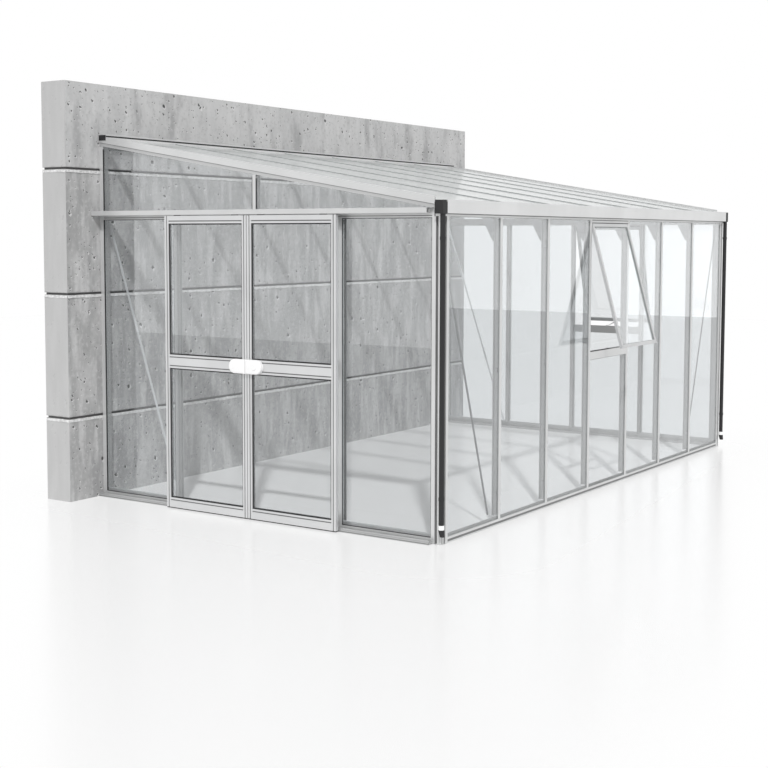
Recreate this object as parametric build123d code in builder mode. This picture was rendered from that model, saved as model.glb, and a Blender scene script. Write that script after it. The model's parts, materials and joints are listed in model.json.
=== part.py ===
from build123d import *
import os
from math import ceil, cos, radians, sin

# A lean-to greenhouse on a short length of concrete house wall.
# X runs along the house wall, Y runs from the long front (low) to the house wall (high), Z is up.
# The gable with the sliding doors is at the low X end. All sizes are in millimetres.

# Grid of the frame
front_bay = 700
front_bays = 7
gable_bay = 726
gable_bays = 4
corner_inset = 65
wall_inset = 22

# Heights
sill_lip_height = 38
sill_height = 60
sill_floor = 20
sill_foot_height = 8
sill_groove_height = 16
sill_groove_depth = 4
eaves_height = 2188
roof_fall = 498
tie_drop = 108
tie_height = 62
tie_groove_up = 9
tie_groove_height = 6
tie_groove_depth = 4

# Glazing bars: an outer cap, a channel for the glass, a shoulder behind it, a web and an inner flange
bar_width = 28
bar_depth = 55
cap_depth = 6
glass_thickness = 4
shoulder_depth = 4
inner_flange_depth = 6
web_width = 10
glass_edge_gap = 3
end_gap = 2

# House wall
wall_above_ridge = 394
wall_thickness = 240
wall_overhang = 340
groove_spacing = 915
groove_first = 620
groove_width = 16
groove_depth = 10

# Sliding doors, their tracks and fittings
door_width = 752
door_depth = 28
door_offset = 56
door_foot = 10
door_head_gap = 6
door_meeting_gap = 6
door_edge_clearance = 20
stile_width = 38
bead_width = 13
panel_groove_width = 8
panel_groove_depth = 5
glazing_lip = 8
lip_recess = 8
top_rail_height = 54
bottom_rail_height = 70
mid_rail_centre = 1066
mid_rail_height = 96
track_height = 34
track_wall = 3
track_slot = 16
track_overlap = 6
roller_radius = 11
roller_width = 7
hanger_thickness = 6
hanger_length = 60
hanger_inset = 110
running_gap = 0.5
low_track_depth = 50
low_track_height = 16
low_track_fin = 14
low_track_step = 6
low_track_groove_up = 5
low_track_groove_height = 4
handle_length = 140
handle_height = 100
handle_depth = 30
handle_edge = 10
lock_radius = 21
lock_depth = 6
lock_inset = 85

# Opening windows, one in the front and one in the far gable
bays_before_front_window = 3
bays_before_gable_window = 1
window_open_angle = 15.5
window_height = 975
window_side_gap = 4
window_frame_width = 26
window_frame_depth = 20
window_head_height = 22
window_rail_depth = 28
window_transom_height = 60
window_hinge_drop = 2
stay_end_inset = 6
stay_width = 14
stay_thickness = 4

# Roof
sheet_thickness = 10
rafter_depth = 58
joint_strip_width = 14
joint_strip_height = 6
verge_width = 40
verge_rise = 15
verge_groove_top = 34
verge_groove_height = 6
verge_groove_depth = 5
plate_depth = 66
plate_leg = 6
seal_width = 10
seal_height = 12
flashing_height = 18
flashing_thickness = 4
plate_cap_thickness = 4

# Gutter and downpipes
gutter_front = 28
gutter_back = 62
gutter_wall = 3
gutter_drop = 82
gutter_lip_rise = 4
gutter_hem = 8
head_rail_height = 18
head_rail_step = 6
head_rail_step_depth = 3
end_cap_reach = 44
end_cap_lap = 11
end_cap_back = 31
end_cap_drop = 3
pipe_radius = 17
pipe_bore = 14
pipe_forward = 10.5
pipe_foot = 132
ring_height = 29
ring_radius = 20
shoe_height = 45
shoe_foot_radius = 16
shoe_kick = 8

# Corner posts
corner_rib_start = 18
corner_rib_width = 13
corner_channel_depth = 24

# Braces and gussets
brace_width = 18
brace_thickness = 4
brace_head_drop = 80
brace_foot_inset = 67
gable_brace_drop = 10
gable_brace_inset = 32
gusset_leg = 131
gusset_drop = 157
gusset_thickness = 4
gusset_nose = 16

# Sizes worked out from those above
tie_low = eaves_height - tie_drop
gutter_low = eaves_height - gutter_drop
gutter_lip = eaves_height + gutter_lip_rise
ridge_height = eaves_height + roof_fall
wall_height = ridge_height + wall_above_ridge
length = front_bays * front_bay + 2 * corner_inset
depth = gable_bays * gable_bay + corner_inset + wall_inset
hinge_height = gutter_low - head_rail_height - window_head_height - window_hinge_drop
sash_reach = window_height * sin(radians(window_open_angle))
sash_drop = window_height * cos(radians(window_open_angle))
total_depth = sash_reach + depth + wall_thickness
x_near = -length / 2
x_far = length / 2
y_front = -total_depth / 2 + sash_reach
y_wall = y_front + depth
roof_slope = roof_fall / depth
glass_front = cap_depth
glass_back = cap_depth + glass_thickness
shoulder_back = glass_back + shoulder_depth
half_bar = bar_width / 2
half_web = web_width / 2
glass_edge = half_web + glass_edge_gap
corner_reach = corner_inset + half_bar
tie_top = tie_low + tie_height
head_low = gutter_low - head_rail_height
transom_top = hinge_height - window_height - window_side_gap
transom_low = transom_top - window_transom_height
front_bar_xs = [x_near + corner_inset + i * front_bay for i in range(front_bays + 1)]
gable_bar_ys = [y_front + corner_inset + k * gable_bay for k in range(gable_bays + 1)]
door_meeting_y = (gable_bar_ys[1] + gable_bar_ys[3]) / 2

os.makedirs("parts", exist_ok=True)


def save(piece, label):
    """Labels a finished piece and writes its file."""
    piece.label = label
    export_step(piece, f"parts/{label}.step")


def roof_z(y):
    """The height of the roof sheets' top face at a place across the depth."""
    return eaves_height + (y - y_front) * roof_slope


def slope_slab(x_from, x_to, y_from, y_to, low, high):
    """A bar that follows the roof's slope, with upright ends."""
    with BuildPart() as slab:
        with BuildSketch(Plane.YZ.offset(x_from)):
            with BuildLine():
                Polyline(
                    (y_from, roof_z(y_from) + low),
                    (y_to, roof_z(y_to) + low),
                    (y_to, roof_z(y_to) + high),
                    (y_from, roof_z(y_from) + high),
                    close=True,
                )
            make_face()
        extrude(amount=x_to - x_from)
    return slab.part


def box_between(low, high):
    """A square block given by its lowest and highest corners."""
    size = [b - a for a, b in zip(low, high)]
    with BuildPart() as block:
        with Locations(low):
            Box(*size, align=(Align.MIN, Align.MIN, Align.MIN))
    return block.part


def depth_in(edge, x, y, inward):
    """How far an edge lies in from the outer face of a bar."""
    middle = edge.center()
    return (middle.X - x) * inward[0] + (middle.Y - y) * inward[1]


def upright_bar(x, y, inward, z_low, z_high, cap_low):
    """A glazing bar: inward is the unit direction from the outer face into the greenhouse."""
    along = (abs(inward[1]), abs(inward[0]))
    plane = Plane(origin=(x, y, z_low), x_dir=(along[0], along[1], 0), z_dir=(0, 0, 1))
    turn = plane.y_dir.X * inward[0] + plane.y_dir.Y * inward[1]
    body = bar_depth - glass_back
    with BuildPart() as bar:
        with BuildSketch(plane):
            with Locations((0, turn * (glass_back + shoulder_depth / 2))):
                Rectangle(bar_width, shoulder_depth)
            with Locations((0, turn * (glass_back + body / 2))):
                Rectangle(web_width, body)
            with Locations((0, turn * (bar_depth - inner_flange_depth / 2))):
                Rectangle(bar_width, inner_flange_depth)
            with Locations((0, turn * (cap_depth + glass_thickness / 2))):
                Rectangle(web_width, glass_thickness)
        extrude(amount=z_high - z_low)
        with BuildSketch(plane.offset(cap_low - z_low)):
            with Locations((0, turn * cap_depth / 2)):
                Rectangle(bar_width, cap_depth)
        extrude(amount=z_high - cap_low)
        cap_edges = bar.edges().filter_by(Axis.Z).filter_by(lambda e: abs(depth_in(e, x, y, inward)) < 0.01)
        fillet(cap_edges, cap_depth / 3)
    return bar.part


# House wall, a plain slab of cast concrete with three grooves left by the boards
wall_length = length + 2 * wall_overhang
groove_count = ceil((wall_height - groove_first) / groove_spacing)
with BuildPart() as house_wall:
    with Locations((0, y_wall + wall_thickness / 2, 0)):
        Box(wall_length, wall_thickness, wall_height, align=(Align.CENTER, Align.CENTER, Align.MIN))
    for step in range(groove_count):
        with BuildSketch(Plane.XY.offset(groove_first + step * groove_spacing - groove_width / 2)):
            with Locations((0, y_wall + wall_thickness / 2)):
                Rectangle(wall_length, wall_thickness)
                Rectangle(wall_length - 2 * groove_depth, wall_thickness - 2 * groove_depth, mode=Mode.SUBTRACT)
        extrude(amount=groove_width, mode=Mode.SUBTRACT)
save(house_wall.part, "house_wall")


# Sills: an outer lip and an inner shoulder hold the foot of the glass between them
def sill_outline():
    """The sill's section, with its outer face at zero and its foot on the ground."""
    return [
        (0, 0),
        (bar_depth, 0),
        (bar_depth, sill_floor),
        (shoulder_back, sill_floor),
        (shoulder_back, sill_height),
        (glass_back, sill_height),
        (glass_back, sill_floor),
        (glass_front, sill_floor),
        (glass_front, sill_lip_height),
        (0, sill_lip_height),
        (0, sill_foot_height + sill_groove_height),
        (sill_groove_depth, sill_foot_height + sill_groove_height),
        (sill_groove_depth, sill_foot_height),
        (0, sill_foot_height),
    ]


with BuildPart() as front_sill:
    with BuildSketch(Plane.YZ.offset(x_near + corner_reach)):
        with BuildLine():
            Polyline([(y_front + v, z) for v, z in sill_outline()], close=True)
        make_face()
    extrude(amount=length - 2 * corner_reach)
save(front_sill.part, "front_sill")

wall_post_face = y_wall - wall_inset - half_bar
with BuildPart() as gable_sills:
    for x_outer, side in ((x_near, 1), (x_far, -1)):
        with BuildSketch(Plane.XZ.offset(-wall_post_face)):
            with BuildLine():
                Polyline([(x_outer + side * v, z) for v, z in sill_outline()], close=True)
            make_face()
        extrude(amount=wall_post_face - y_front - corner_reach)
save(gable_sills.part, "gable_sills")

# Corner posts: two glazing bars joined at a right angle behind the downpipe
corner_web = corner_inset + half_web
corner_cap = corner_inset - half_bar
post_sections = (
    (cap_depth, corner_reach, glass_back, bar_depth),
    (cap_depth, corner_web, cap_depth, glass_back),
    (corner_cap, corner_reach, 0, cap_depth),
    (corner_rib_start, corner_rib_start + corner_rib_width, 0, cap_depth),
)
post_head = roof_z(y_front + gutter_back) - rafter_depth
with BuildPart() as corner_posts:
    for x_outer, side in ((x_near, 1), (x_far, -1)):
        for swapped in (False, True):
            for u_from, u_to, v_from, v_to in post_sections:
                x_from, x_to, y_from, y_to = (
                    (v_from, v_to, u_from, u_to) if swapped else (u_from, u_to, v_from, v_to)
                )
                x_low = min(x_outer + side * x_from, x_outer + side * x_to)
                with Locations((x_low, y_front + y_from, 0)):
                    Box(x_to - x_from, y_to - y_from, head_low, align=(Align.MIN, Align.MIN, Align.MIN))
        rib_end = corner_rib_start + corner_rib_width
        channel_middle = (rib_end + corner_cap) / 2
        for channel_x, channel_y, size_x, size_y in (
            (channel_middle, corner_channel_depth / 2, corner_cap - rib_end, corner_channel_depth),
            (corner_channel_depth / 2, channel_middle, corner_channel_depth, corner_cap - rib_end),
        ):
            with Locations((x_outer + side * channel_x, y_front + channel_y, 0)):
                Box(
                    size_x,
                    size_y,
                    head_low,
                    align=(Align.CENTER, Align.CENTER, Align.MIN),
                    mode=Mode.SUBTRACT,
                )
        for v_from, v_to in ((0, cap_depth), (cap_depth, bar_depth)):
            x_low = min(x_outer + side * v_from, x_outer + side * v_to)
            with Locations((x_low, y_front + gutter_back, head_low)):
                Box(
                    v_to - v_from,
                    corner_reach - gutter_back,
                    post_head - head_low,
                    align=(Align.MIN, Align.MIN, Align.MIN),
                )
save(corner_posts.part, "corner_posts")

# Wall posts: the last bar of each gable, closed against the house wall
with BuildPart() as wall_posts:
    for x_outer, side in ((x_near, 1), (x_far, -1)):
        post_top = roof_z(wall_post_face) - rafter_depth
        low_y = wall_post_face
        high_y = y_wall
        for v_from, v_to, y_low in (
            (0, cap_depth, low_y),
            (cap_depth, glass_back, low_y + half_bar - half_web),
            (glass_back, bar_depth, low_y),
        ):
            x_low = min(x_outer + side * v_from, x_outer + side * v_to)
            with Locations((x_low, y_low, 0)):
                Box(v_to - v_from, high_y - y_low, post_top, align=(Align.MIN, Align.MIN, Align.MIN))
save(wall_posts.part, "wall_posts")

# Front glazing bars, between the sill and the rail under the gutter
front_bars = [
    upright_bar(x, y_front, (0, 1), sill_height, head_low, sill_lip_height) for x in front_bar_xs[1:-1]
]
with BuildPart() as front_glazing_bars:
    add(front_bars)
save(front_glazing_bars.part, "front_glazing_bars")

# Gable posts up to the ties: two beside the doorway, three in the far gable
near_posts = [
    upright_bar(x_near, gable_bar_ys[k], (1, 0), sill_height, tie_low, sill_lip_height) for k in (1, 3)
]
far_posts = [
    upright_bar(x_far, gable_bar_ys[k], (-1, 0), sill_height, tie_low, sill_lip_height)
    for k in range(1, gable_bays)
]
with BuildPart() as gable_posts:
    add(near_posts)
    add(far_posts)
save(gable_posts.part, "gable_posts")

# Ties across both gables at the height of the eaves
with BuildPart() as gable_ties:
    for x_outer, side in ((x_near, 1), (x_far, -1)):
        y_low = y_front + corner_reach
        for v_from, v_to, shrink in (
            (0, cap_depth, 0),
            (cap_depth, glass_back, 2 * glass_edge_gap),
            (glass_back, bar_depth, 0),
        ):
            x_low = min(x_outer + side * v_from, x_outer + side * v_to)
            with Locations((x_low, y_low, tie_low + shrink)):
                Box(
                    v_to - v_from,
                    wall_post_face - y_low,
                    tie_height - 2 * shrink,
                    align=(Align.MIN, Align.MIN, Align.MIN),
                )
        with Locations((x_outer + side * tie_groove_depth / 2, y_low, tie_low + tie_groove_up)):
            Box(
                tie_groove_depth,
                wall_post_face - y_low,
                tie_groove_height,
                align=(Align.CENTER, Align.MIN, Align.MIN),
                mode=Mode.SUBTRACT,
            )
save(gable_ties.part, "gable_ties")

# Head rail under the gutter, which holds the top of the front glass
with BuildPart() as front_head_rail:
    with BuildSketch(Plane.YZ.offset(x_near)):
        with BuildLine():
            Polyline(
                (y_front, head_low),
                (y_front + glass_front, head_low),
                (y_front + glass_front, gutter_low - glass_edge_gap),
                (y_front + glass_back, gutter_low - glass_edge_gap),
                (y_front + glass_back, head_low),
                (y_front + bar_depth, head_low),
                (y_front + bar_depth, gutter_low),
                (y_front + head_rail_step_depth, gutter_low),
                (y_front + head_rail_step_depth, gutter_low - head_rail_step),
                (y_front, gutter_low - head_rail_step),
                close=True,
            )
        make_face()
    extrude(amount=length)
save(front_head_rail.part, "front_head_rail")

# Gutter: an open trough whose back wall carries the feet of the rafters
rafter_foot = y_front + gutter_back - 2 * gutter_wall
with BuildPart() as gutter:
    with BuildSketch(Plane.YZ.offset(x_near + end_cap_lap)):
        with BuildLine():
            Polyline(
                (y_front - gutter_front, gutter_low),
                (y_front + gutter_back, gutter_low),
                (y_front + gutter_back, roof_z(y_front + gutter_back) - rafter_depth),
                (rafter_foot, roof_z(rafter_foot) - rafter_depth),
                (rafter_foot, gutter_low + gutter_wall),
                (y_front - gutter_front + gutter_wall, gutter_low + gutter_wall),
                (y_front - gutter_front + gutter_wall, gutter_lip - gutter_wall),
                (y_front - gutter_front + gutter_hem, gutter_lip - gutter_wall),
                (y_front - gutter_front + gutter_hem, gutter_lip),
                (y_front - gutter_front, gutter_lip),
                close=True,
            )
        make_face()
    extrude(amount=length - 2 * end_cap_lap)
save(gutter.part, "gutter")

# End caps of the gutter: a deep block over each downpipe, and a thin tail behind it
cap_top = gutter_lip - gutter_wall
with BuildPart() as gutter_end_caps:
    for x_outer, side in ((x_near, 1), (x_far, -1)):
        cap_low = gutter_low - end_cap_drop
        x_low = min(x_outer - side * end_cap_reach, x_outer)
        with Locations((x_low, y_front - gutter_front, cap_low)):
            Box(
                end_cap_reach,
                gutter_front + end_cap_back,
                cap_top - cap_low,
                align=(Align.MIN, Align.MIN, Align.MIN),
            )
        x_low = min(x_outer, x_outer + side * end_cap_lap)
        tail_top = roof_z(y_front) - sheet_thickness
        with Locations((x_low, y_front - gutter_front, gutter_low)):
            Box(
                end_cap_lap,
                gutter_front + gutter_back,
                tail_top - gutter_low,
                align=(Align.MIN, Align.MIN, Align.MIN),
            )
save(gutter_end_caps.part, "gutter_end_caps")

# Downpipes outside the corners, each with a white ring and a tapered shoe at the foot
pipe_places = [(x_near - pipe_radius, y_front - pipe_forward), (x_far + pipe_radius, y_front - pipe_forward)]
with BuildPart() as downpipes:
    with BuildSketch(Plane.XY.offset(pipe_foot)):
        with Locations(pipe_places):
            Circle(pipe_radius)
            Circle(pipe_bore, mode=Mode.SUBTRACT)
    extrude(amount=gutter_low - end_cap_drop - pipe_foot)
save(downpipes.part, "downpipes")

with BuildPart() as pipe_rings:
    with BuildSketch(Plane.XY.offset(pipe_foot - ring_height)):
        with Locations(pipe_places):
            Circle(ring_radius)
            Circle(pipe_bore, mode=Mode.SUBTRACT)
    extrude(amount=ring_height)
save(pipe_rings.part, "pipe_rings")

with BuildPart() as pipe_shoes:
    for x_pipe, y_pipe in pipe_places:
        with BuildSketch(Plane.XY.offset(pipe_foot - ring_height)):
            with Locations((x_pipe, y_pipe)):
                Circle(ring_radius)
        with BuildSketch(Plane.XY.offset(pipe_foot - ring_height - shoe_height)):
            with Locations((x_pipe, y_pipe - shoe_kick)):
                Circle(shoe_foot_radius)
        loft()
save(pipe_shoes.part, "pipe_shoes")

# Verge bars: the sloping outer edges of the roof over each gable
verge_foot = y_front + gutter_back
with BuildPart() as verge_bars:
    for x_outer, side in ((x_near, 1), (x_far, -1)):
        inner = x_outer + side * verge_width
        lip = x_outer + side * verge_groove_depth
        glass_face = x_outer + side * glass_front
        for a, b, low, high in (
            (x_outer, glass_face, -verge_groove_top, verge_rise),
            (lip, glass_face, -verge_groove_top - verge_groove_height, -verge_groove_top),
            (x_outer, glass_face, -rafter_depth, -verge_groove_top - verge_groove_height),
            (glass_face, x_outer + side * glass_back, 2 * glass_edge_gap - rafter_depth + half_web, verge_rise),
            (x_outer + side * glass_back, inner, -rafter_depth, -sheet_thickness),
            (x_outer + side * glass_back, x_outer + side * shoulder_back, -sheet_thickness, verge_rise),
        ):
            add(slope_slab(min(a, b), max(a, b), verge_foot, y_wall, low, high))
save(verge_bars.part, "verge_bars")

# Rafters over each front glazing bar
with BuildPart() as rafters:
    for x in front_bar_xs[1:-1]:
        low_flange = -rafter_depth + inner_flange_depth
        high_flange = -sheet_thickness - inner_flange_depth
        add(slope_slab(x - half_bar, x + half_bar, rafter_foot, y_wall - plate_leg, -rafter_depth, low_flange))
        add(slope_slab(x - half_web, x + half_web, rafter_foot, y_wall - plate_leg, low_flange, high_flange))
        add(
            slope_slab(x - half_bar, x + half_bar, rafter_foot, y_wall - plate_leg, high_flange, -sheet_thickness)
        )
save(rafters.part, "rafters")

# Plate fixed to the house wall, which carries the heads of the rafters
with BuildPart() as wall_plate:
    plate_low = -rafter_depth - bar_width
    add(slope_slab(x_near + bar_depth, x_far - bar_depth, y_wall - plate_leg, y_wall, plate_low, -sheet_thickness))
save(wall_plate.part, "wall_plate")

# Roof sheets, one to each bay, lying on the rafters
sheet_gap = joint_strip_width / 2 - glass_edge_gap
sheet_edges = [x_near + shoulder_back] + front_bar_xs[1:-1] + [x_far - shoulder_back]
with BuildPart() as roof_sheets:
    for i in range(front_bays):
        x_low = sheet_edges[i] + (0 if i == 0 else sheet_gap)
        x_high = sheet_edges[i + 1] - (0 if i == front_bays - 1 else sheet_gap)
        add(slope_slab(x_low, x_high, y_front + gutter_wall, y_wall - plate_leg, -sheet_thickness, 0))
save(roof_sheets.part, "roof_sheets")

# Joint strips, which close the gaps between the sheets
with BuildPart() as joint_strips:
    for x in front_bar_xs[1:-1]:
        x_low = x - joint_strip_width / 2
        x_high = x + joint_strip_width / 2
        add(slope_slab(x_low, x_high, y_front + gutter_wall, y_wall - plate_depth, 0, joint_strip_height))
save(joint_strips.part, "joint_strips")

# Seal and flashing along the house wall over the heads of the sheets
seal_front = y_wall - plate_depth
seal_back = seal_front + seal_width
flashing_low = roof_z(y_wall) + verge_rise
seal_low = flashing_low - seal_height
with BuildPart() as wall_seal:
    with Locations((0, seal_front, seal_low)):
        Box(length - 2 * shoulder_back, seal_width, seal_height, align=(Align.CENTER, Align.MIN, Align.MIN))
save(wall_seal.part, "wall_seal")

with BuildPart() as wall_flashing:
    with BuildSketch(Plane.YZ.offset(x_near)):
        with BuildLine():
            Polyline(
                (seal_front, flashing_low),
                (y_wall, flashing_low),
                (y_wall, flashing_low + flashing_height),
                (y_wall - flashing_thickness, flashing_low + flashing_height),
                (seal_front, flashing_low + flashing_thickness),
                close=True,
            )
        make_face()
    extrude(amount=length)
    leg_back = seal_back + flashing_thickness
    with BuildSketch(Plane.YZ.offset(x_near + shoulder_back)):
        with BuildLine():
            Polyline(
                (seal_front, roof_z(seal_front)),
                (leg_back, roof_z(leg_back)),
                (leg_back, flashing_low),
                (seal_back, flashing_low),
                (seal_back, seal_low),
                (seal_front, seal_low),
                close=True,
            )
        make_face()
    extrude(amount=length - 2 * shoulder_back)
save(wall_flashing.part, "wall_flashing")

with BuildPart() as flashing_end_caps:
    for x_low in (x_near - plate_cap_thickness, x_far):
        cap_low = roof_z(seal_front) - sheet_thickness
        with Locations((x_low, seal_front, cap_low)):
            Box(
                plate_cap_thickness,
                plate_depth,
                flashing_low + flashing_thickness - cap_low,
                align=(Align.MIN, Align.MIN, Align.MIN),
            )
save(flashing_end_caps.part, "flashing_end_caps")

# Upper bars in the middle of each gable, between the tie and the verge
with BuildPart() as gable_upper_bars:
    for x_outer, side in ((x_near, 1), (x_far, -1)):
        y_bar = gable_bar_ys[gable_bays // 2]
        top = roof_z(y_bar - half_bar) - rafter_depth
        add(upright_bar(x_outer, y_bar, (side, 0), tie_top, top, tie_top))
save(gable_upper_bars.part, "gable_upper_bars")

# Knee gussets in the corner between each front bar and its rafter
gusset_back = y_front + bar_depth
gusset_tip = gusset_back + gusset_leg
gutter_back_y = y_front + gutter_back
with BuildPart() as knee_gussets:
    for x in front_bar_xs[1:-1]:
        with BuildSketch(Plane.YZ.offset(x - gusset_thickness / 2)):
            with BuildLine():
                Polyline(
                    (gusset_back, head_low - gusset_drop),
                    (gusset_back + gusset_nose, head_low - gusset_drop),
                    (gusset_tip, roof_z(gusset_tip) - rafter_depth - gusset_nose),
                    (gusset_tip, roof_z(gusset_tip) - rafter_depth),
                    (gutter_back_y, roof_z(gutter_back_y) - rafter_depth),
                    (gutter_back_y, gutter_low),
                    (gusset_back, gutter_low),
                    close=True,
                )
            make_face()
        extrude(amount=gusset_thickness)
save(knee_gussets.part, "knee_gussets")


# Flat braces, from a post's head down to the foot of the next bar
def brace(start, end, inward):
    """A flat strap between two points, lying in an upright wall."""
    run = Vector(*end) - Vector(*start)
    plane = Plane(origin=start, x_dir=run, z_dir=inward)
    with BuildPart() as strap:
        with BuildSketch(plane):
            with Locations((run.length / 2, 0)):
                SlotOverall(run.length + brace_width, brace_width)
        extrude(amount=brace_thickness)
    return strap.part


brace_head = head_low - brace_head_drop
brace_foot = sill_height + brace_width
straps = []
for x_outer, side in ((x_near, 1), (x_far, -1)):
    start = (x_outer + side * corner_inset, y_front + bar_depth, brace_head)
    end = (x_outer + side * (corner_inset + front_bay - brace_foot_inset), y_front + bar_depth, brace_foot)
    straps.append(brace(start, end, (0, 1, 0)))
    x_face = x_outer + side * bar_depth
    start = (x_face, wall_post_face, tie_low - gable_brace_drop)
    end = (x_face, gable_bar_ys[gable_bays - 1] + gable_brace_inset, brace_foot)
    straps.append(brace(start, end, (side, 0, 0)))
with BuildPart() as braces:
    add(straps)
save(braces.part, "braces")

# Glass: the front panes, then the gable panes under and over the ties
pane_foot = sill_floor
front_pane_top = gutter_low - glass_edge_gap - end_gap
front_panes = []
for i in range(front_bays):
    window_bay = i == bays_before_front_window
    x_low = front_bar_xs[i] + glass_edge
    x_high = front_bar_xs[i + 1] - glass_edge
    pane_top = transom_low + glass_edge_gap if window_bay else front_pane_top
    front_panes.append(
        box_between(
            (x_low, y_front + glass_front, pane_foot),
            (x_high, y_front + glass_back, pane_top),
        )
    )
with BuildPart() as front_glass:
    add(front_panes)
save(front_glass.part, "front_glass")


def gable_pane(x_outer, side, bay, z_low, z_high):
    """One upright pane in a gable bay, counted from the front corner."""
    x_low = min(x_outer + side * glass_front, x_outer + side * glass_back)
    return box_between(
        (x_low, gable_bar_ys[bay] + glass_edge, z_low),
        (x_low + glass_thickness, gable_bar_ys[bay + 1] - glass_edge, z_high),
    )


gable_pane_top = tie_low + glass_edge_gap
with BuildPart() as near_gable_glass:
    for bay in (0, gable_bays - 1):
        add(gable_pane(x_near, 1, bay, pane_foot, gable_pane_top))
save(near_gable_glass.part, "near_gable_glass")

with BuildPart() as far_gable_glass:
    for bay in range(gable_bays):
        window_bay = bay == bays_before_gable_window
        pane_top = transom_low + glass_edge_gap if window_bay else gable_pane_top
        add(gable_pane(x_far, -1, bay, pane_foot, pane_top))
save(far_gable_glass.part, "far_gable_glass")


def upper_pane(x_outer, side, y_from, y_to):
    """A pane over the tie whose top edge follows the verge."""
    x_low = min(x_outer + side * glass_front, x_outer + side * glass_back)
    foot = tie_top - 2 * glass_edge_gap
    rise = glass_edge_gap - rafter_depth
    with BuildPart() as pane:
        with BuildSketch(Plane.YZ.offset(x_low)):
            with BuildLine():
                Polyline(
                    (y_from, foot),
                    (y_to, foot),
                    (y_to, roof_z(y_to) + rise),
                    (y_from, roof_z(y_from) + rise),
                    close=True,
                )
            make_face()
        extrude(amount=glass_thickness)
    return pane.part


upper_low_y = y_front + corner_reach
upper_mid_y = gable_bar_ys[gable_bays // 2]
upper_high_y = wall_post_face + half_bar - glass_edge
with BuildPart() as gable_upper_glass:
    for x_outer, side in ((x_near, 1), (x_far, -1)):
        add(upper_pane(x_outer, side, upper_low_y, upper_mid_y - glass_edge))
        add(upper_pane(x_outer, side, upper_mid_y + glass_edge, upper_high_y))
save(gable_upper_glass.part, "gable_upper_glass")


# Opening windows: a fixed head and transom, and a sash hung from its top edge
def fixed_rail(centre, across, inward, width, z_low, z_high, glazed):
    """A rail fitted between two bars; a glazed one has a channel for the pane below it."""
    plane = Plane(origin=(*centre, 0), x_dir=(*inward, 0), z_dir=(-across[0], -across[1], 0))
    turn = plane.y_dir.Z
    with BuildPart() as rail:
        with BuildSketch(plane.offset(-width / 2)):
            with Locations((window_rail_depth / 2, turn * (z_low + z_high) / 2)):
                Rectangle(window_rail_depth, z_high - z_low)
            if glazed:
                with Locations((cap_depth + glass_thickness / 2, turn * (z_low + glass_edge_gap))):
                    Rectangle(glass_thickness, 2 * glass_edge_gap, mode=Mode.SUBTRACT)
        extrude(amount=width)
    return rail.part


def sash_plane(centre, across, outward):
    """The sash's outer face: its origin on the hinge line, x along the hinge and y down the sash."""
    tilt = radians(window_open_angle)
    down = Vector(outward[0] * sin(tilt), outward[1] * sin(tilt), -cos(tilt))
    return Plane(origin=(*centre, hinge_height), x_dir=(*across, 0), z_dir=Vector(*across, 0).cross(down))


def sash_frame(plane, inwards, width):
    """The four rails of a sash."""
    with BuildPart() as sash:
        with BuildSketch(plane):
            with Locations((0, window_height / 2)):
                Rectangle(width, window_height)
                Rectangle(
                    width - 2 * window_frame_width, window_height - 2 * window_frame_width, mode=Mode.SUBTRACT
                )
        extrude(amount=inwards * window_frame_depth)
    return sash.part


def sash_pane(plane, inwards, width):
    """The pane of a sash, inside its four rails."""
    with BuildPart() as pane:
        with BuildSketch(plane.offset(inwards * (window_frame_depth - glass_thickness) / 2)):
            with Locations((0, window_height / 2)):
                Rectangle(width - 2 * window_frame_width, window_height - 2 * window_frame_width)
        extrude(amount=inwards * glass_thickness)
    return pane.part


def window_stay(centre, across, outward):
    """The strut from the transom out to the foot of the open sash."""
    tilt = radians(window_open_angle)
    plane = Plane(origin=(*centre, 0), x_dir=(*outward, 0), z_dir=(*across, 0))
    turn = plane.y_dir.Z
    ends = []
    for along in (window_height - stay_end_inset, window_height - stay_end_inset - stay_width):
        out = along * sin(tilt) - window_frame_depth * cos(tilt)
        height = hinge_height - along * cos(tilt) - window_frame_depth * sin(tilt)
        ends.append((out, turn * height))
    with BuildPart() as strut:
        with BuildSketch(plane.offset(-stay_thickness / 2)):
            with BuildLine():
                Polyline(
                    (-glass_front, turn * transom_top),
                    ends[0],
                    ends[1],
                    (-glass_front - stay_width, turn * transom_top),
                    close=True,
                )
            make_face()
        extrude(amount=stay_thickness)
    return strut.part


front_window_centre = (front_bar_xs[bays_before_front_window] + front_bay / 2, y_front)
gable_window_centre = (x_far, gable_bar_ys[bays_before_gable_window] + gable_bay / 2)
windows = (
    ("front_window_frame", front_window_centre, (1, 0), (0, -1), front_bay, head_low),
    ("gable_window_frame", gable_window_centre, (0, 1), (1, 0), gable_bay, tie_low),
)
sash_panes = []
fixed_rails = []
stays = []
for label, centre, across, outward, bay, head_top in windows:
    sash_width = bay - bar_width - 2 * window_side_gap
    inward = (-outward[0], -outward[1])
    plane = sash_plane(centre, across, outward)
    inwards = 1 if plane.z_dir.X * inward[0] + plane.z_dir.Y * inward[1] > 0 else -1
    window_head = hinge_height + window_hinge_drop
    fixed_rails.append(fixed_rail(centre, across, inward, bay - bar_width, window_head, head_top, False))
    fixed_rails.append(fixed_rail(centre, across, inward, bay - bar_width, transom_low, transom_top, True))
    stays.append(window_stay(centre, across, outward))
    sash_panes.append(sash_pane(plane, inwards, sash_width))
    save(sash_frame(plane, inwards, sash_width), label)

with BuildPart() as window_glass:
    add(sash_panes)
save(window_glass.part, "window_glass")
with BuildPart() as window_fixed_rails:
    add(fixed_rails)
save(window_fixed_rails.part, "window_fixed_rails")
with BuildPart() as window_stays:
    add(stays)
save(window_stays.part, "window_stays")

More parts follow.
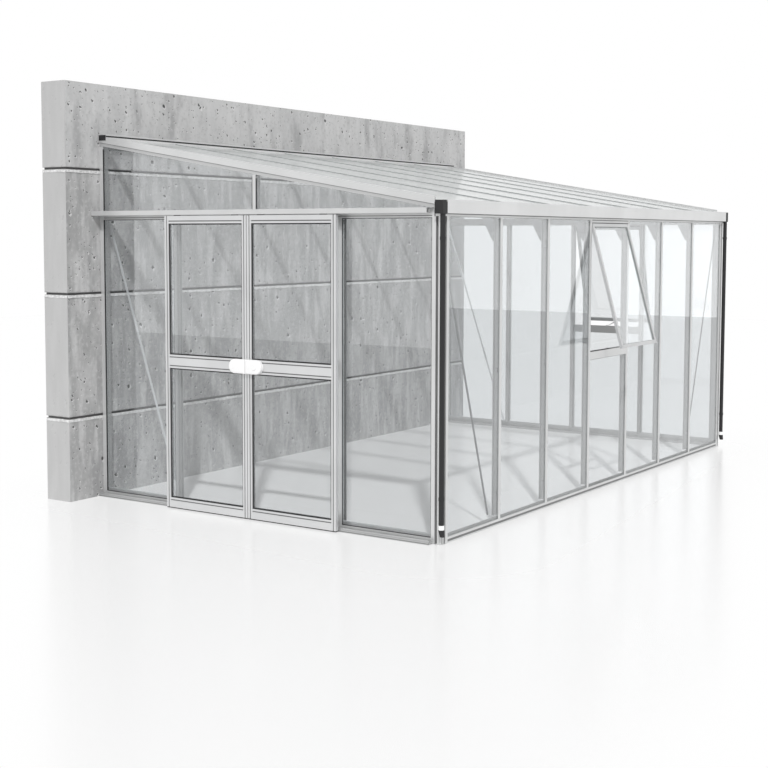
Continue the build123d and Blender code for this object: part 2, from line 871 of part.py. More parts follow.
# Tracks for the doors: a hanging channel across the gable and a low rail on the ground
track_low = tie_top - track_height
door_outer = x_near - door_offset - door_depth
door_inner = x_near - door_offset
door_middle = (door_outer + door_inner) / 2
track_outer = door_outer - track_overlap
track_inner = door_inner + track_overlap
with BuildPart() as door_top_track:
    with BuildSketch(Plane.XZ.offset(-y_wall)):
        with BuildLine():
            Polyline(
                (x_near, tie_top),
                (track_outer, tie_top),
                (track_outer, track_low),
                (door_middle - track_slot / 2, track_low),
                (door_middle - track_slot / 2, track_low + track_wall),
                (track_outer + track_wall, track_low + track_wall),
                (track_outer + track_wall, tie_top - track_wall),
                (track_inner - track_wall, tie_top - track_wall),
                (track_inner - track_wall, track_low + track_wall),
                (door_middle + track_slot / 2, track_low + track_wall),
                (door_middle + track_slot / 2, track_low),
                (track_inner, track_low),
                (track_inner, tie_top - track_wall),
                (x_near, tie_top - track_wall),
                close=True,
            )
        make_face()
    extrude(amount=depth - corner_inset)
save(door_top_track.part, "door_top_track")

low_track_outer = x_near - low_track_depth
with BuildPart() as door_low_track:
    with BuildSketch(Plane.XZ.offset(-y_wall)):
        with BuildLine():
            Polyline(
                (x_near, 0),
                (low_track_outer, 0),
                (low_track_outer, low_track_groove_up),
                (low_track_outer + low_track_groove_height, low_track_groove_up),
                (low_track_outer + low_track_groove_height, low_track_groove_up + low_track_groove_height),
                (low_track_outer, low_track_groove_up + low_track_groove_height),
                (low_track_outer, low_track_height),
                (low_track_outer + low_track_step, low_track_height),
                (low_track_outer + low_track_step, low_track_height + low_track_fin),
                (low_track_outer + low_track_step + track_wall, low_track_height + low_track_fin),
                (low_track_outer + low_track_step + track_wall, low_track_height),
                (x_near, low_track_height),
                close=True,
            )
        make_face()
    extrude(amount=depth - corner_inset)
save(door_low_track.part, "door_low_track")


# Doors: a frame of stiles and rails round two panes, hung from two rollers
def door_frame(y_low, y_high):
    """One door's frame: grooved stiles and rails on both faces, with a lower lip round each pane."""
    top = track_low - door_head_gap
    width = y_high - y_low
    middle = (y_low + y_high) / 2
    lip_out = stile_width + glazing_lip
    bead_and_groove = bead_width + panel_groove_width / 2
    openings = (
        (door_foot + bottom_rail_height, mid_rail_centre - mid_rail_height / 2),
        (mid_rail_centre + mid_rail_height / 2, top - top_rail_height),
    )
    with BuildPart() as frame:
        with BuildSketch(Plane.YZ.offset(door_outer)):
            with Locations((middle, (door_foot + top) / 2)):
                Rectangle(width, top - door_foot)
            for z_low, z_high in openings:
                with Locations((middle, (z_low + z_high) / 2)):
                    Rectangle(width - 2 * stile_width, z_high - z_low, mode=Mode.SUBTRACT)
        extrude(amount=door_depth)
        with BuildSketch(Plane.YZ.offset(door_outer + lip_recess)):
            for z_low, z_high in openings:
                with Locations((middle, (z_low + z_high) / 2)):
                    Rectangle(width - 2 * stile_width, z_high - z_low)
                    Rectangle(width - 2 * lip_out, z_high - z_low - 2 * glazing_lip, mode=Mode.SUBTRACT)
        extrude(amount=door_depth - 2 * lip_recess)
        rail_grooves = [(middle, z_low - bead_and_groove) for z_low, z_high in openings]
        rail_grooves += [(middle, z_high + bead_and_groove) for z_low, z_high in openings]
        stile_grooves = [
            (y_edge, (door_foot + top) / 2)
            for y_edge in (y_low + stile_width - bead_and_groove, y_high - stile_width + bead_and_groove)
        ]
        for x_face in (door_outer, door_inner - panel_groove_depth):
            with BuildSketch(Plane.YZ.offset(x_face)):
                with Locations(rail_grooves):
                    Rectangle(width - 2 * stile_width, panel_groove_width)
                with Locations(stile_grooves):
                    Rectangle(panel_groove_width, top - door_foot)
            extrude(amount=panel_groove_depth, mode=Mode.SUBTRACT)
    return frame.part


def door_panes(y_low, y_high):
    """The two panes of a door, edge to edge with the lips."""
    top = track_low - door_head_gap
    lip_out = stile_width + glazing_lip
    x_pane = door_middle - glass_thickness / 2
    panes = []
    for z_low, z_high in (
        (door_foot + bottom_rail_height, mid_rail_centre - mid_rail_height / 2),
        (mid_rail_centre + mid_rail_height / 2, top - top_rail_height),
    ):
        panes.append(
            box_between(
                (x_pane, y_low + lip_out, z_low + glazing_lip),
                (x_pane + glass_thickness, y_high - lip_out, z_high - glazing_lip),
            )
        )
    return panes


def door_hanger(y_centre):
    """A plate with a pair of rollers, standing on the door's top rail."""
    top = track_low - door_head_gap
    axle_z = track_low + track_wall + running_gap + roller_radius
    with BuildPart() as hanger:
        with Locations((door_middle, y_centre, top)):
            Box(
                hanger_thickness,
                hanger_length,
                axle_z + roller_radius / 2 - top,
                align=(Align.CENTER, Align.CENTER, Align.MIN),
            )
        for roller in (-1, 1):
            face = door_middle + roller * (track_slot / 2 + running_gap + roller_width / 2)
            with Locations(Location((face, y_centre, axle_z), (0, 90, 0))):
                Cylinder(roller_radius, roller_width)
        with Locations(Location((door_middle, y_centre, axle_z), (0, 90, 0))):
            Cylinder(roller_radius / 3, track_slot + 2 * running_gap)
    return hanger.part


def handle_half(side):
    """One half of the pull plate across the meeting stiles, with a round outer end."""
    y_inner = door_meeting_y + side * door_meeting_gap / 2
    with BuildPart() as handle:
        with BuildSketch(Plane.YZ.offset(door_outer - handle_depth)):
            radius = handle_height / 2
            straight = handle_length - radius
            with Locations((y_inner + side * straight / 2, mid_rail_centre)):
                Rectangle(straight, handle_height)
            with Locations((y_inner + side * straight, mid_rail_centre)):
                Circle(radius)
            with Locations((y_inner - side * handle_length / 2, mid_rail_centre)):
                Rectangle(handle_length, 2 * handle_height, mode=Mode.SUBTRACT)
        extrude(amount=handle_depth)
        outer = handle.faces().sort_by(Axis.X)[0]
        chamfer(outer.edges(), handle_edge)
    return handle.part


left_low = door_meeting_y + door_meeting_gap / 2
left_high = door_meeting_y + door_width
right_low = door_meeting_y - door_width
right_high = door_meeting_y - door_meeting_gap / 2
for name, y_low, y_high, side in (("left_door", left_low, left_high, 1), ("right_door", right_low, right_high, -1)):
    frame_part = door_frame(y_low, y_high)
    pane_parts = door_panes(y_low, y_high)
    hanger_parts = [door_hanger(y_low + hanger_inset), door_hanger(y_high - hanger_inset)]
    handle_part = handle_half(side)
    save(frame_part, f"{name}_frame")
    with BuildPart() as door_glass:
        add(pane_parts)
    save(door_glass.part, f"{name}_glass")
    with BuildPart() as door_rollers:
        add(hanger_parts)
    save(door_rollers.part, f"{name}_rollers")
    save(handle_part, f"{name}_handle")

# Turning lock in the right-hand half of the pull plate
with BuildPart() as door_lock:
    with BuildSketch(Plane.YZ.offset(door_outer - handle_depth - lock_depth)):
        with Locations((door_meeting_y - lock_inset, mid_rail_centre)):
            Circle(lock_radius)
    extrude(amount=lock_depth)
    chamfer(door_lock.faces().sort_by(Axis.X)[0].edges(), lock_depth / 2)
save(door_lock.part, "right_door_lock")

print(f"length {length}, depth {depth}, front plane {y_front:.1f}, wall face {y_wall:.1f}")
print(f"door travel {y_wall - left_high - door_edge_clearance:.0f}")
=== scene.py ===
# %% [markdown]
# # A lean-to greenhouse on a house wall
# Pale aluminium bars and sheets of glass lean against a short length of concrete wall. The bars, posts,
# panes, doors and windows come in at their real sizes, and their shapes are left alone. This lesson gives
# them their surfaces, and adds the small things that make a greenhouse look real: seals, screws, bolts,
# clips, trims and the cement lips on the wall. At the end it sets up the floor, the light and the camera.

# %% Load the frame
import bmesh
import bpy
import json
from math import cos, pi, radians, sin
from mathutils import Matrix, Quaternion, Vector


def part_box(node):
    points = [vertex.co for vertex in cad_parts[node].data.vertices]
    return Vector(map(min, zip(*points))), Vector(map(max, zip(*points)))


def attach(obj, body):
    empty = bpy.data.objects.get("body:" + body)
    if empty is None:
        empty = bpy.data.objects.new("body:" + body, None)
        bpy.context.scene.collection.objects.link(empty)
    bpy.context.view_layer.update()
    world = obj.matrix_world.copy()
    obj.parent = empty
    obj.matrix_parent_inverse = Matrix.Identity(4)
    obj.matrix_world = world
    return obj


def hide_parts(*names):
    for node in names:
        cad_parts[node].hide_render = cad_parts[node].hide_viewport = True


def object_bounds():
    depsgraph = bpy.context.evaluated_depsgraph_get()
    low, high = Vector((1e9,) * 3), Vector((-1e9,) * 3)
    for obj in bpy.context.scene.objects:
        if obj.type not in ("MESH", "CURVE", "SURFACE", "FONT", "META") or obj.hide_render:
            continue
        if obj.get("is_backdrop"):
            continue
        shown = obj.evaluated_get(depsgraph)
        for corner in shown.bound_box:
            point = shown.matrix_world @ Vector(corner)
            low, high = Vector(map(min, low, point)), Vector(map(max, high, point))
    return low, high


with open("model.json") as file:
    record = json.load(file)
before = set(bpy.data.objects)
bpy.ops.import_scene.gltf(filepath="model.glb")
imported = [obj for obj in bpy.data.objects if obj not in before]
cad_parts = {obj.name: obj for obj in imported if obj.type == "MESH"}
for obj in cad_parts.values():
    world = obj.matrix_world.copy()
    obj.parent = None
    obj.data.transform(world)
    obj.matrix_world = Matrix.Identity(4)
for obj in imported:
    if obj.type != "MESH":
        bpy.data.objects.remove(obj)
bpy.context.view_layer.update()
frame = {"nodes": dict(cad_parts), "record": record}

nodes = frame["nodes"]

# %% [markdown]
# ## Helpers for materials
# Every finish here is a small network of nodes. It could be wired by hand in the shader editor, but the
# same few moves come back in each one, so they are short functions that add a node, link it and hand
# back its output. All patterns read Object coordinates: each object's origin lies at the world's origin,
# so a pattern keeps its real size in metres and runs on from one piece to the next.

# %% Start a material
def start_material(name):
    """A new material, its node tree, its main shader and its Object coordinates."""
    material = bpy.data.materials.new(name)
    material.use_nodes = True
    tree = material.node_tree
    shader = tree.nodes["Principled BSDF"]
    coords = tree.nodes.new("ShaderNodeTexCoord")
    return material, tree, shader, coords.outputs["Object"]


def noise(tree, vector, scale, detail=4.0, stretch=(1, 1, 1)):
    """Cloudy noise; a small number in stretch draws it out along that axis."""
    mapping = tree.nodes.new("ShaderNodeMapping")
    mapping.inputs["Scale"].default_value = stretch
    tree.links.new(vector, mapping.inputs["Vector"])
    texture = tree.nodes.new("ShaderNodeTexNoise")
    texture.inputs["Scale"].default_value = scale
    texture.inputs["Detail"].default_value = detail
    tree.links.new(mapping.outputs["Vector"], texture.inputs["Vector"])
    return texture.outputs["Fac"]


print("helpers ready: start_material, noise")

# %% Nodes that work with colours
def ramp(tree, value, stops):
    """A colour that follows a value through a list of places and colours."""
    node = tree.nodes.new("ShaderNodeValToRGB")
    elements = node.color_ramp.elements
    while len(elements) < len(stops):
        elements.new(0.5)
    for element, (position, colour) in zip(elements, stops):
        element.position = position
        element.color = (*colour, 1)
    tree.links.new(value, node.inputs["Fac"])
    return node.outputs["Color"]


def mix_colour(tree, factor, a, b):
    """Colour a where the factor is 0, colour b where it is 1; each may be a value or a link."""
    node = tree.nodes.new("ShaderNodeMix")
    node.data_type = "RGBA"
    for socket, value in ((node.inputs["Factor"], factor), (node.inputs["A"], a), (node.inputs["B"], b)):
        if isinstance(value, bpy.types.NodeSocket):
            tree.links.new(value, socket)
        elif isinstance(value, tuple):
            socket.default_value = (*value, 1)
        else:
            socket.default_value = value
    return node.outputs["Result"]


def toned(colour, share):
    """The same colour, darker or lighter."""
    return tuple(c * share for c in colour)


def grey(tone):
    return (tone, tone, tone)


print("helpers ready: ramp, mix_colour, toned, grey")

# %% Nodes that work with numbers
def map_range(tree, value, low, high, to_low, to_high):
    node = tree.nodes.new("ShaderNodeMapRange")
    for name, number in (("From Min", low), ("From Max", high), ("To Min", to_low), ("To Max", to_high)):
        node.inputs[name].default_value = number
    tree.links.new(value, node.inputs["Value"])
    return node.outputs["Result"]


def math(tree, operation, a, b=0.0, c=0.0):
    """One step of arithmetic between values or links."""
    node = tree.nodes.new("ShaderNodeMath")
    node.operation = operation
    for socket, value in zip(node.inputs, (a, b, c)):
        if isinstance(value, bpy.types.NodeSocket):
            tree.links.new(value, socket)
        else:
            socket.default_value = value
    return node.outputs["Value"]


def coordinates(tree, vector):
    """The X, Y and Z of a vector."""
    split = tree.nodes.new("ShaderNodeSeparateXYZ")
    tree.links.new(vector, split.inputs["Vector"])
    return split.outputs


def bump(tree, shader, height, strength, distance):
    """Small relief that only the light sees; the mesh stays as it is."""
    node = tree.nodes.new("ShaderNodeBump")
    node.inputs["Strength"].default_value = strength
    node.inputs["Distance"].default_value = distance
    tree.links.new(height, node.inputs["Height"])
    tree.links.new(node.outputs["Normal"], shader.inputs["Normal"])


print("helpers ready: map_range, math, coordinates, bump")

# %% [markdown]
# ## Lines of the frame
# Seals, clips and the dark inner sides of the bars all follow the same few planes: the outer faces of
# the gables and of the front, the face of the house wall, and the slope of the roof. They could all be
# typed in. The planes are read from the boxes of the CAD nodes instead, so that what is added stays on
# its bar, and only the heights of the roof's line at its two ends are numbers.

# %% Planes and slope
post_low, post_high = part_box("corner_posts")
wall_low, wall_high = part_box("house_wall")
x_near, x_far = post_low.x, post_high.x
y_front, y_wall = post_low.y, wall_low.y
eaves, ridge = 2.188, 2.686
slope = (ridge - eaves) / (y_wall - y_front)
cap_depth, glass_thickness = 0.006, 0.004
print("gables at", round(x_near, 3), round(x_far, 3), "front at", round(y_front, 3), "slope", round(slope, 3))

# %% [markdown]
# ## Aluminium
# The bars are pressed through a die and anodised, so they have a faint grain along their length and a
# soft sheen. One flat grey would look like paint, so each metal has a cloudy tone, a fine grain that
# changes its gloss, and a little bump. One function makes the whole family.
# Some places on a bar get painted shade: the bottoms of the pressed grooves, what stands behind the
# caps and the glass under the roof, and the lower leg of a verge bar. In the gables some bars get
# painted shade and others painted light. They could be pieces with materials of their own. A mask made
# from the coordinates and the direction of the face finds them on the finished bar, with nothing cut or
# added.

# %% The metal and its masks
groove_reach, groove_shade_tone = 0.0012, 0.30
roof_underside, leg_drop = 0.0105, 0.0265
behind_caps = cap_depth + 0.0005
gable_reach, front_reach = 0.09, 0.08


def aluminium(name, colour, metallic=0.45, roughness=0.34, grooves=(), cap_shade=1.0, gable_light_and_shade=1.0, leg_shade=1.0):
    """Anodised metal.

    grooves are the bottoms of pressed grooves, each as an axis and a place, and get painted shade. The
    last three are shares of the colour: inner is painted shade behind the caps and under the roof, leg
    is painted shade on the lower part of a verge bar, and gable is for the two gables, where less than 1
    paints shade on the half towards the house wall and more than 1 paints light on all but the corner.
    """
    material, tree, shader, where = start_material(name)
    cloud = noise(tree, where, 3.0, 3.0)
    grain = noise(tree, where, 140.0, 2.0, (1, 1, 0.04))
    base = mix_colour(tree, map_range(tree, cloud, 0.35, 0.65, 0, 1), toned(colour, 0.93), colour)
    place = coordinates(tree, where)
    x, y, z = place
    direction = coordinates(tree, tree.nodes.new("ShaderNodeNewGeometry").outputs["Normal"])
    # Painted shade: the bottom of each pressed groove is darkened.
    for axis, position in grooves:
        close = math(tree, "COMPARE", place[axis], position, groove_reach)
        facing = math(tree, "GREATER_THAN", math(tree, "ABSOLUTE", direction[axis]), 0.9)
        base = mix_colour(tree, math(tree, "MULTIPLY", close, facing), base, toned(colour, groove_shade_tone))
    roof = math(tree, "MULTIPLY_ADD", math(tree, "SUBTRACT", y, y_front), slope, eaves - roof_underside)
    from_middle = math(tree, "ABSOLUTE", x)
    # Painted shade on the lower leg of a verge bar.
    if leg_shade < 1.0:
        shaded_low_leg = math(tree, "LESS_THAN", math(tree, "SUBTRACT", z, roof), -leg_drop)
        base = mix_colour(tree, shaded_low_leg, base, toned(colour, leg_shade))
    # Painted shade on what stands behind the caps and the glass, under the roof.
    if cap_shade < 1.0:
        behind = math(tree, "MULTIPLY", math(tree, "LESS_THAN", from_middle, x_far - behind_caps),
                      math(tree, "GREATER_THAN", y, y_front + behind_caps))
        behind = math(tree, "MULTIPLY", behind, math(tree, "LESS_THAN", z, roof))
        base = mix_colour(tree, math(tree, "MULTIPLY", behind, 1.0 - cap_shade), base, grey(0.02))
    # In the gables a share below 1 is painted shade on the half towards the house wall, and a share above 1
    # is painted light on all but the corner.
    if gable_light_and_shade != 1.0:
        starts = 0.0 if gable_light_and_shade < 1.0 else y_front + front_reach
        gable_light_share = math(tree, "MULTIPLY", math(tree, "GREATER_THAN", from_middle, x_far - gable_reach),
                      math(tree, "GREATER_THAN", y, starts))
        base = mix_colour(tree, gable_light_share, base, toned(colour, gable_light_and_shade))
    tree.links.new(base, shader.inputs["Base Color"])
    gloss = map_range(tree, grain, 0.3, 0.7, roughness - 0.06, roughness + 0.08)
    tree.links.new(gloss, shader.inputs["Roughness"])
    shader.inputs["Metallic"].default_value = metallic
    bump(tree, shader, grain, 0.05, 0.0004)
    return material


print("slope of the roof", round(slope, 4), "metal is dark", behind_caps, "m behind its face")

# %% Metals of the fixed frame
gable_groove, front_groove, track_groove = 0.0045, 0.0035, 0.004
bar_grooves = [("X", x_near + gable_groove), ("X", x_far - gable_groove), ("Y", y_front + front_groove)]
low_track_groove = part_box("door_low_track")[0].x + track_groove
frame_tone = (0.70, 0.705, 0.705)
# The shares behind the caps, on the verge's lower leg and in the gables' half towards the house wall are
# painted shade.
bar_metal = aluminium("bar_aluminium", frame_tone, grooves=bar_grooves, cap_shade=0.56)
post_metal = aluminium("post_aluminium", frame_tone, grooves=bar_grooves, cap_shade=0.42, gable_light_and_shade=0.62)
verge_metal = aluminium("verge_aluminium", frame_tone, grooves=bar_grooves, cap_shade=0.42, leg_shade=0.78)
roof_metal = aluminium("roof_aluminium", (0.68, 0.685, 0.685), grooves=bar_grooves, cap_shade=0.42)
sill_metal = aluminium("sill_aluminium", (0.76, 0.765, 0.765), cap_shade=0.6)
# The braces' dark tone is painted shade, and the gable share lifts it with painted light in the gables.
brace_light_and_shade_metal = aluminium("brace_aluminium", (0.15, 0.153, 0.156), 0.3, 0.4, gable_light_and_shade=4.2)
track_metal = aluminium("track_aluminium", (0.66, 0.665, 0.665))
low_track_metal = aluminium("low_track_aluminium", (0.50, 0.505, 0.505), grooves=[("X", low_track_groove)])
print("grooves at", [(axis, round(position, 4)) for axis, position in bar_grooves])

# %% Metals of the doors, windows and gutter
panel_groove_depth = 0.005
door_low, door_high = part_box("left_door_frame")
door_grooves = [("X", door_low.x + panel_groove_depth), ("X", door_high.x - panel_groove_depth)]
# The grooves of the door frames get painted shade.
door_metal = aluminium("door_aluminium", (0.695, 0.70, 0.705), grooves=door_grooves)
sash_metal = aluminium("sash_aluminium", (0.62, 0.625, 0.63))
# The far window's frame is a darker copy of the sash metal: painted shade on its inner side.
shaded_far_sash_metal = aluminium("far_sash_aluminium", (0.38, 0.385, 0.39))
gutter_metal = aluminium("gutter_aluminium", (0.745, 0.75, 0.75))
bracket_metal = aluminium("bracket_aluminium", (0.42, 0.425, 0.43), 0.6, 0.4)
lock_steel = aluminium("lock_steel", (0.62, 0.62, 0.63), 0.9, 0.3)
print("door grooves at", [(axis, round(position, 4)) for axis, position in door_grooves])

# %% [markdown]
# ## Concrete
# The wall was cast in rows against boards. The real face is mottled grey, with streaks that run down,
# small round air holes, and a dark groove with a ragged edge at each joint of the boards. A picture of
# concrete would repeat itself on a wall this long. Layers of noise never do: each layer below picks a
# part of the wall and mixes one tone into it, from broad clouds to small patches.

# %% Air holes
def pits(tree, where, scale, radius, share, halo=0.0, shift=0.0):
    """Round air holes: one in a part of the cells of a pattern, each with its own size.

    The flat pattern is laid by X + Y and Z + Y, so that it also runs over the wall's ends and top. halo
    makes each hole larger and shift moves it aside, which gives a painted highlight on one side of a hole.
    """
    cells = tree.nodes.new("ShaderNodeTexVoronoi")
    cells.voronoi_dimensions = "2D"
    cells.inputs["Scale"].default_value = scale
    x, y, z = coordinates(tree, where)
    wobble = math(tree, "MULTIPLY_ADD", noise(tree, where, 70.0, 2.0), 0.03, -shift)
    spot = tree.nodes.new("ShaderNodeCombineXYZ")
    tree.links.new(math(tree, "ADD", math(tree, "ADD", x, y), wobble), spot.inputs["X"])
    tree.links.new(math(tree, "SUBTRACT", math(tree, "ADD", z, y), wobble), spot.inputs["Y"])
    tree.links.new(spot.outputs["Vector"], cells.inputs["Vector"])
    pick = tree.nodes.new("ShaderNodeSeparateColor")
    tree.links.new(cells.outputs["Color"], pick.inputs["Color"])
    size = map_range(tree, pick.outputs["Red"], 1.0 - share, 1.0, 0.0, radius * scale)
    depth = math(tree, "SUBTRACT", math(tree, "MULTIPLY", size, 1.0 + halo), cells.outputs["Distance"])
    return map_range(tree, depth, 0.0, 0.25 * radius * scale, 0.0, 1.0)


# cells to a metre, the largest radius of a hole in metres, and the share of the cells that have one
hole_sizes = ((7.0, 0.018, 0.34), (17.0, 0.011, 0.30), (38.0, 0.006, 0.22))
print("air holes of", len(hole_sizes), "sizes")

# %% The cast face
joint_heights = [0.620 + 0.915 * i for i in range(3)]
row_tones = ((0.0, 0.42), (0.25, 0.385), (0.78, 0.385), (0.80, 0.56), (1.0, 0.62))


def concrete():
    """Rows of tone, layers of noise, air holes and joints; the near end was cast smoother."""
    material, tree, shader, where = start_material("cast_concrete")
    place = coordinates(tree, where)
    height = place["Z"]
    end_face = map_range(tree, place["X"], wall_low.x + 0.0001, wall_low.x + 0.0010, 1.0, 0.0)
    cloud = noise(tree, where, 2.2, 5.0)
    broad = noise(tree, where, 6.0, 4.0, (1.0, 1.0, 0.30))
    streaks = noise(tree, where, 15.0, 4.0, (1.0, 1.0, 0.20))
    patches = noise(tree, where, 34.0, 5.0, (1.0, 1.0, 0.9))
    share_of_height = map_range(tree, height, 0.0, wall_high.z, 0.0, 1.0)
    colour = ramp(tree, share_of_height, [(share, grey(tone)) for share, tone in row_tones])
    for pattern, start, end, share_from, share_to, tone in (
            (cloud, 0.35, 0.65, 0.0, 0.35, (0.38, 0.385, 0.39)),
            (broad, 0.50, 0.66, 0.0, 0.50, grey(0.62)),
            (broad, 0.34, 0.48, 0.55, 0.0, (0.30, 0.30, 0.305)),
            (streaks, 0.50, 0.68, 0.0, 0.50, grey(0.68)),
            (patches, 0.54, 0.66, 0.0, 0.32, grey(0.66)),
            (patches, 0.32, 0.44, 0.30, 0.0, grey(0.30))):
        share = map_range(tree, pattern, start, end, share_from, share_to)
        colour = mix_colour(tree, share, colour, tone)
    smooth = mix_colour(tree, map_range(tree, streaks, 0.4, 0.7, 0.0, 0.35), grey(0.50), grey(0.59))
    colour = mix_colour(tree, end_face, colour, smooth)
    rough_face = map_range(tree, end_face, 0.0, 1.0, 1.0, 0.15)
    # Air holes are not cut, so each is painted: a pale spot moved to one side is a painted highlight, and the
    # dark spot is painted shade in the hole.
    for scale, radius, share in hole_sizes:
        hole_highlight = math(tree, "MULTIPLY", pits(tree, where, scale, radius, share, 0.25, radius * 0.4), rough_face)
        colour = mix_colour(tree, math(tree, "MULTIPLY", hole_highlight, 0.7), colour, grey(0.78))
        dark = math(tree, "MULTIPLY", pits(tree, where, scale, radius, share), rough_face)
        colour = mix_colour(tree, dark, colour, grey(0.09))
    # Painted shade: the groove of each joint is darkened, and a ragged band of painted shade lies just above
    # it.
    ragged = math(tree, "MULTIPLY_ADD", noise(tree, where, 30.0, 4.0), 0.024, height)
    for joint in joint_heights:
        inside = math(tree, "COMPARE", height, joint, 0.0082)
        shade_above = math(tree, "MULTIPLY", map_range(tree, ragged, joint + 0.016, joint + 0.030, 0.45, 0.0),
                     math(tree, "GREATER_THAN", height, joint))
        colour = mix_colour(tree, math(tree, "MAXIMUM", inside, shade_above), colour, grey(0.15))
    tree.links.new(colour, shader.inputs["Base Color"])
    shader.inputs["Roughness"].default_value = 0.85
    bump(tree, shader, noise(tree, where, 120.0, 3.0), 0.25, 0.003)
    return material


concrete_material = concrete()
print("concrete made, joints at", [round(v, 3) for v in joint_heights])

# %% [markdown]
# ## Glass and roof sheets
# A pane lets light straight through with a faint green-grey tint, and mirrors more as it is seen more
# from the side. A full glass shader would bend each ray twice and darken the room inside with noisy
# shadows. Here a see-through shader carries the tint, a mirror is mixed in by the angle of view, and rays
# that only bring light pass almost freely. The ribbed roof sheets are the same with more milk in them.

# %% Panes
def pane(name, tint, milk, milk_colour, gloss_least=0.056, gloss_most=0.80, roughness=0.0, flutes=0.0):
    """A clear or milky sheet; milk is how much of it scatters light, and flutes the pitch of its ribs."""
    material, tree, shader, where = start_material(name)
    clear = tree.nodes.new("ShaderNodeBsdfTransparent")
    shader.inputs["Base Color"].default_value = (*milk_colour, 1)
    shader.inputs["Roughness"].default_value = 0.35
    gloss = tree.nodes.new("ShaderNodeBsdfGlossy")
    gloss.inputs["Roughness"].default_value = roughness
    gloss.inputs["Color"].default_value = (0.985, 0.99, 0.995, 1)
    facing = tree.nodes.new("ShaderNodeLayerWeight")
    facing.inputs["Blend"].default_value = 0.5
    path = tree.nodes.new("ShaderNodeLightPath")
    lighting = math(tree, "MAXIMUM", path.outputs["Is Shadow Ray"], path.outputs["Is Diffuse Ray"])
    looking = math(tree, "SUBTRACT", 1.0, lighting)
    tree.links.new(mix_colour(tree, lighting, tint, grey(0.985)), clear.inputs["Color"])
    rising = math(tree, "POWER", facing.outputs["Facing"], 4.0)
    share = math(tree, "MULTIPLY", map_range(tree, rising, 0.0, 1.0, gloss_least, gloss_most), looking)
    cloudy = tree.nodes.new("ShaderNodeMixShader")
    haze = map_range(tree, noise(tree, where, 2.0, 3.0), 0.3, 0.7, milk * 0.9, milk * 1.1)
    if flutes:
        rib = math(tree, "PINGPONG", coordinates(tree, where)["X"], flutes / 2)
        haze = math(tree, "ADD", haze, map_range(tree, rib, 0.0, flutes / 8, 0.12, 0.0))
    haze = math(tree, "MULTIPLY", haze, map_range(tree, lighting, 0.0, 1.0, 1.0, 0.12))
    tree.links.new(haze, cloudy.inputs["Fac"])
    tree.links.new(clear.outputs["BSDF"], cloudy.inputs[1])
    tree.links.new(shader.outputs["BSDF"], cloudy.inputs[2])
    mirror = tree.nodes.new("ShaderNodeMixShader")
    tree.links.new(share, mirror.inputs["Fac"])
    tree.links.new(cloudy.outputs["Shader"], mirror.inputs[1])
    tree.links.new(gloss.outputs["BSDF"], mirror.inputs[2])
    tree.links.new(mirror.outputs["Shader"], tree.nodes["Material Output"].inputs["Surface"])
    return material


rib_pitch = 0.064
glass = pane("clear_glass", (0.895, 0.905, 0.910), 0.01, (0.77, 0.80, 0.80))
roof_sheet = pane("roof_sheet", (0.92, 0.93, 0.93), 0.60, (0.82, 0.84, 0.835), 0.05, 0.40, 0.06, rib_pitch)
print("glass made, and roof sheets with a rib every", rib_pitch, "m")

# %% [markdown]
# ## Plastics and rubber
# The gutter's end caps and the downpipes are charcoal plastic, and the door pull and pipe rings are
# white. The seals of the gables, doors and hinges are black rubber, those of the front panes and sashes
# grey. Moulded plastic is never quite even: a fine orange-peel grain moves its tone, gloss and bump a
# little. It could be modelled, but at this size only the light shows it, so noise does the job.

# %% Moulded plastics and rubber
def plastic(name, colour, roughness, grain=260.0):
    """Moulded plastic or rubber with a fine grain, given as bumps to a metre."""
    material, tree, shader, where = start_material(name)
    speck = noise(tree, where, grain, 2.0)
    lighter = tuple(min(1.0, c) for c in toned(colour, 1.12))
    tree.links.new(mix_colour(tree, speck, colour, lighter), shader.inputs["Base Color"])
    gloss = map_range(tree, speck, 0.3, 0.7, roughness - 0.05, roughness + 0.05)
    tree.links.new(gloss, shader.inputs["Roughness"])
    bump(tree, shader, speck, 0.08, 0.0005)
    return material


charcoal = plastic("charcoal_plastic", (0.016, 0.016, 0.017), 0.6)
white_plastic = plastic("white_plastic", grey(0.88), 0.3)
roller_plastic = plastic("roller_plastic", grey(0.10), 0.45)
rubber = plastic("black_rubber", (0.025, 0.025, 0.026), 0.7)
grey_rubber = plastic("grey_rubber", (0.36, 0.375, 0.375), 0.65)
pale_rubber = plastic("pale_rubber", (0.46, 0.475, 0.475), 0.65)
print("plastics and rubbers made")

# %% [markdown]
# ## Surfaces on the CAD nodes
# Each CAD node comes with a plain material, and the record names the slot that it belongs to. A list
# from slot to finish dresses all of them in one loop, and a second short list names the few nodes that
# look different from others of their slot, such as the darker low track of the doors.

# %% Dress the nodes
finishes = {
    "concrete": concrete_material,
    "aluminium_frame": bar_metal,
    "gutter_aluminium": gutter_metal,
    "roof_aluminium": roof_metal,
    "bracket_aluminium": bracket_metal,
    "sash_aluminium": sash_metal,
    "track_aluminium": track_metal,
    "door_aluminium": door_metal,
    "charcoal_plastic": charcoal,
    "white_plastic": white_plastic,
    "roller_plastic": roller_plastic,
    "black_rubber": rubber,
    "joint_strip": grey_rubber,
    "roof_sheet": roof_sheet,
    "glass": glass,
    "lock_steel": lock_steel,
}
own_finishes = {
    "right_door_lock": white_plastic,
    "door_low_track": low_track_metal,
    "braces": brace_light_and_shade_metal,
    "gable_posts": post_metal,
    "gable_sills": sill_metal,
    "gable_window_frame": shaded_far_sash_metal,
    "verge_bars": verge_metal,
}
for entry in frame["record"]["subparts"]:
    node = entry["node"]
    mesh = nodes[node].data
    mesh.materials.clear()
    mesh.materials.append(own_finishes.get(node, finishes[entry["material_slot"]]))

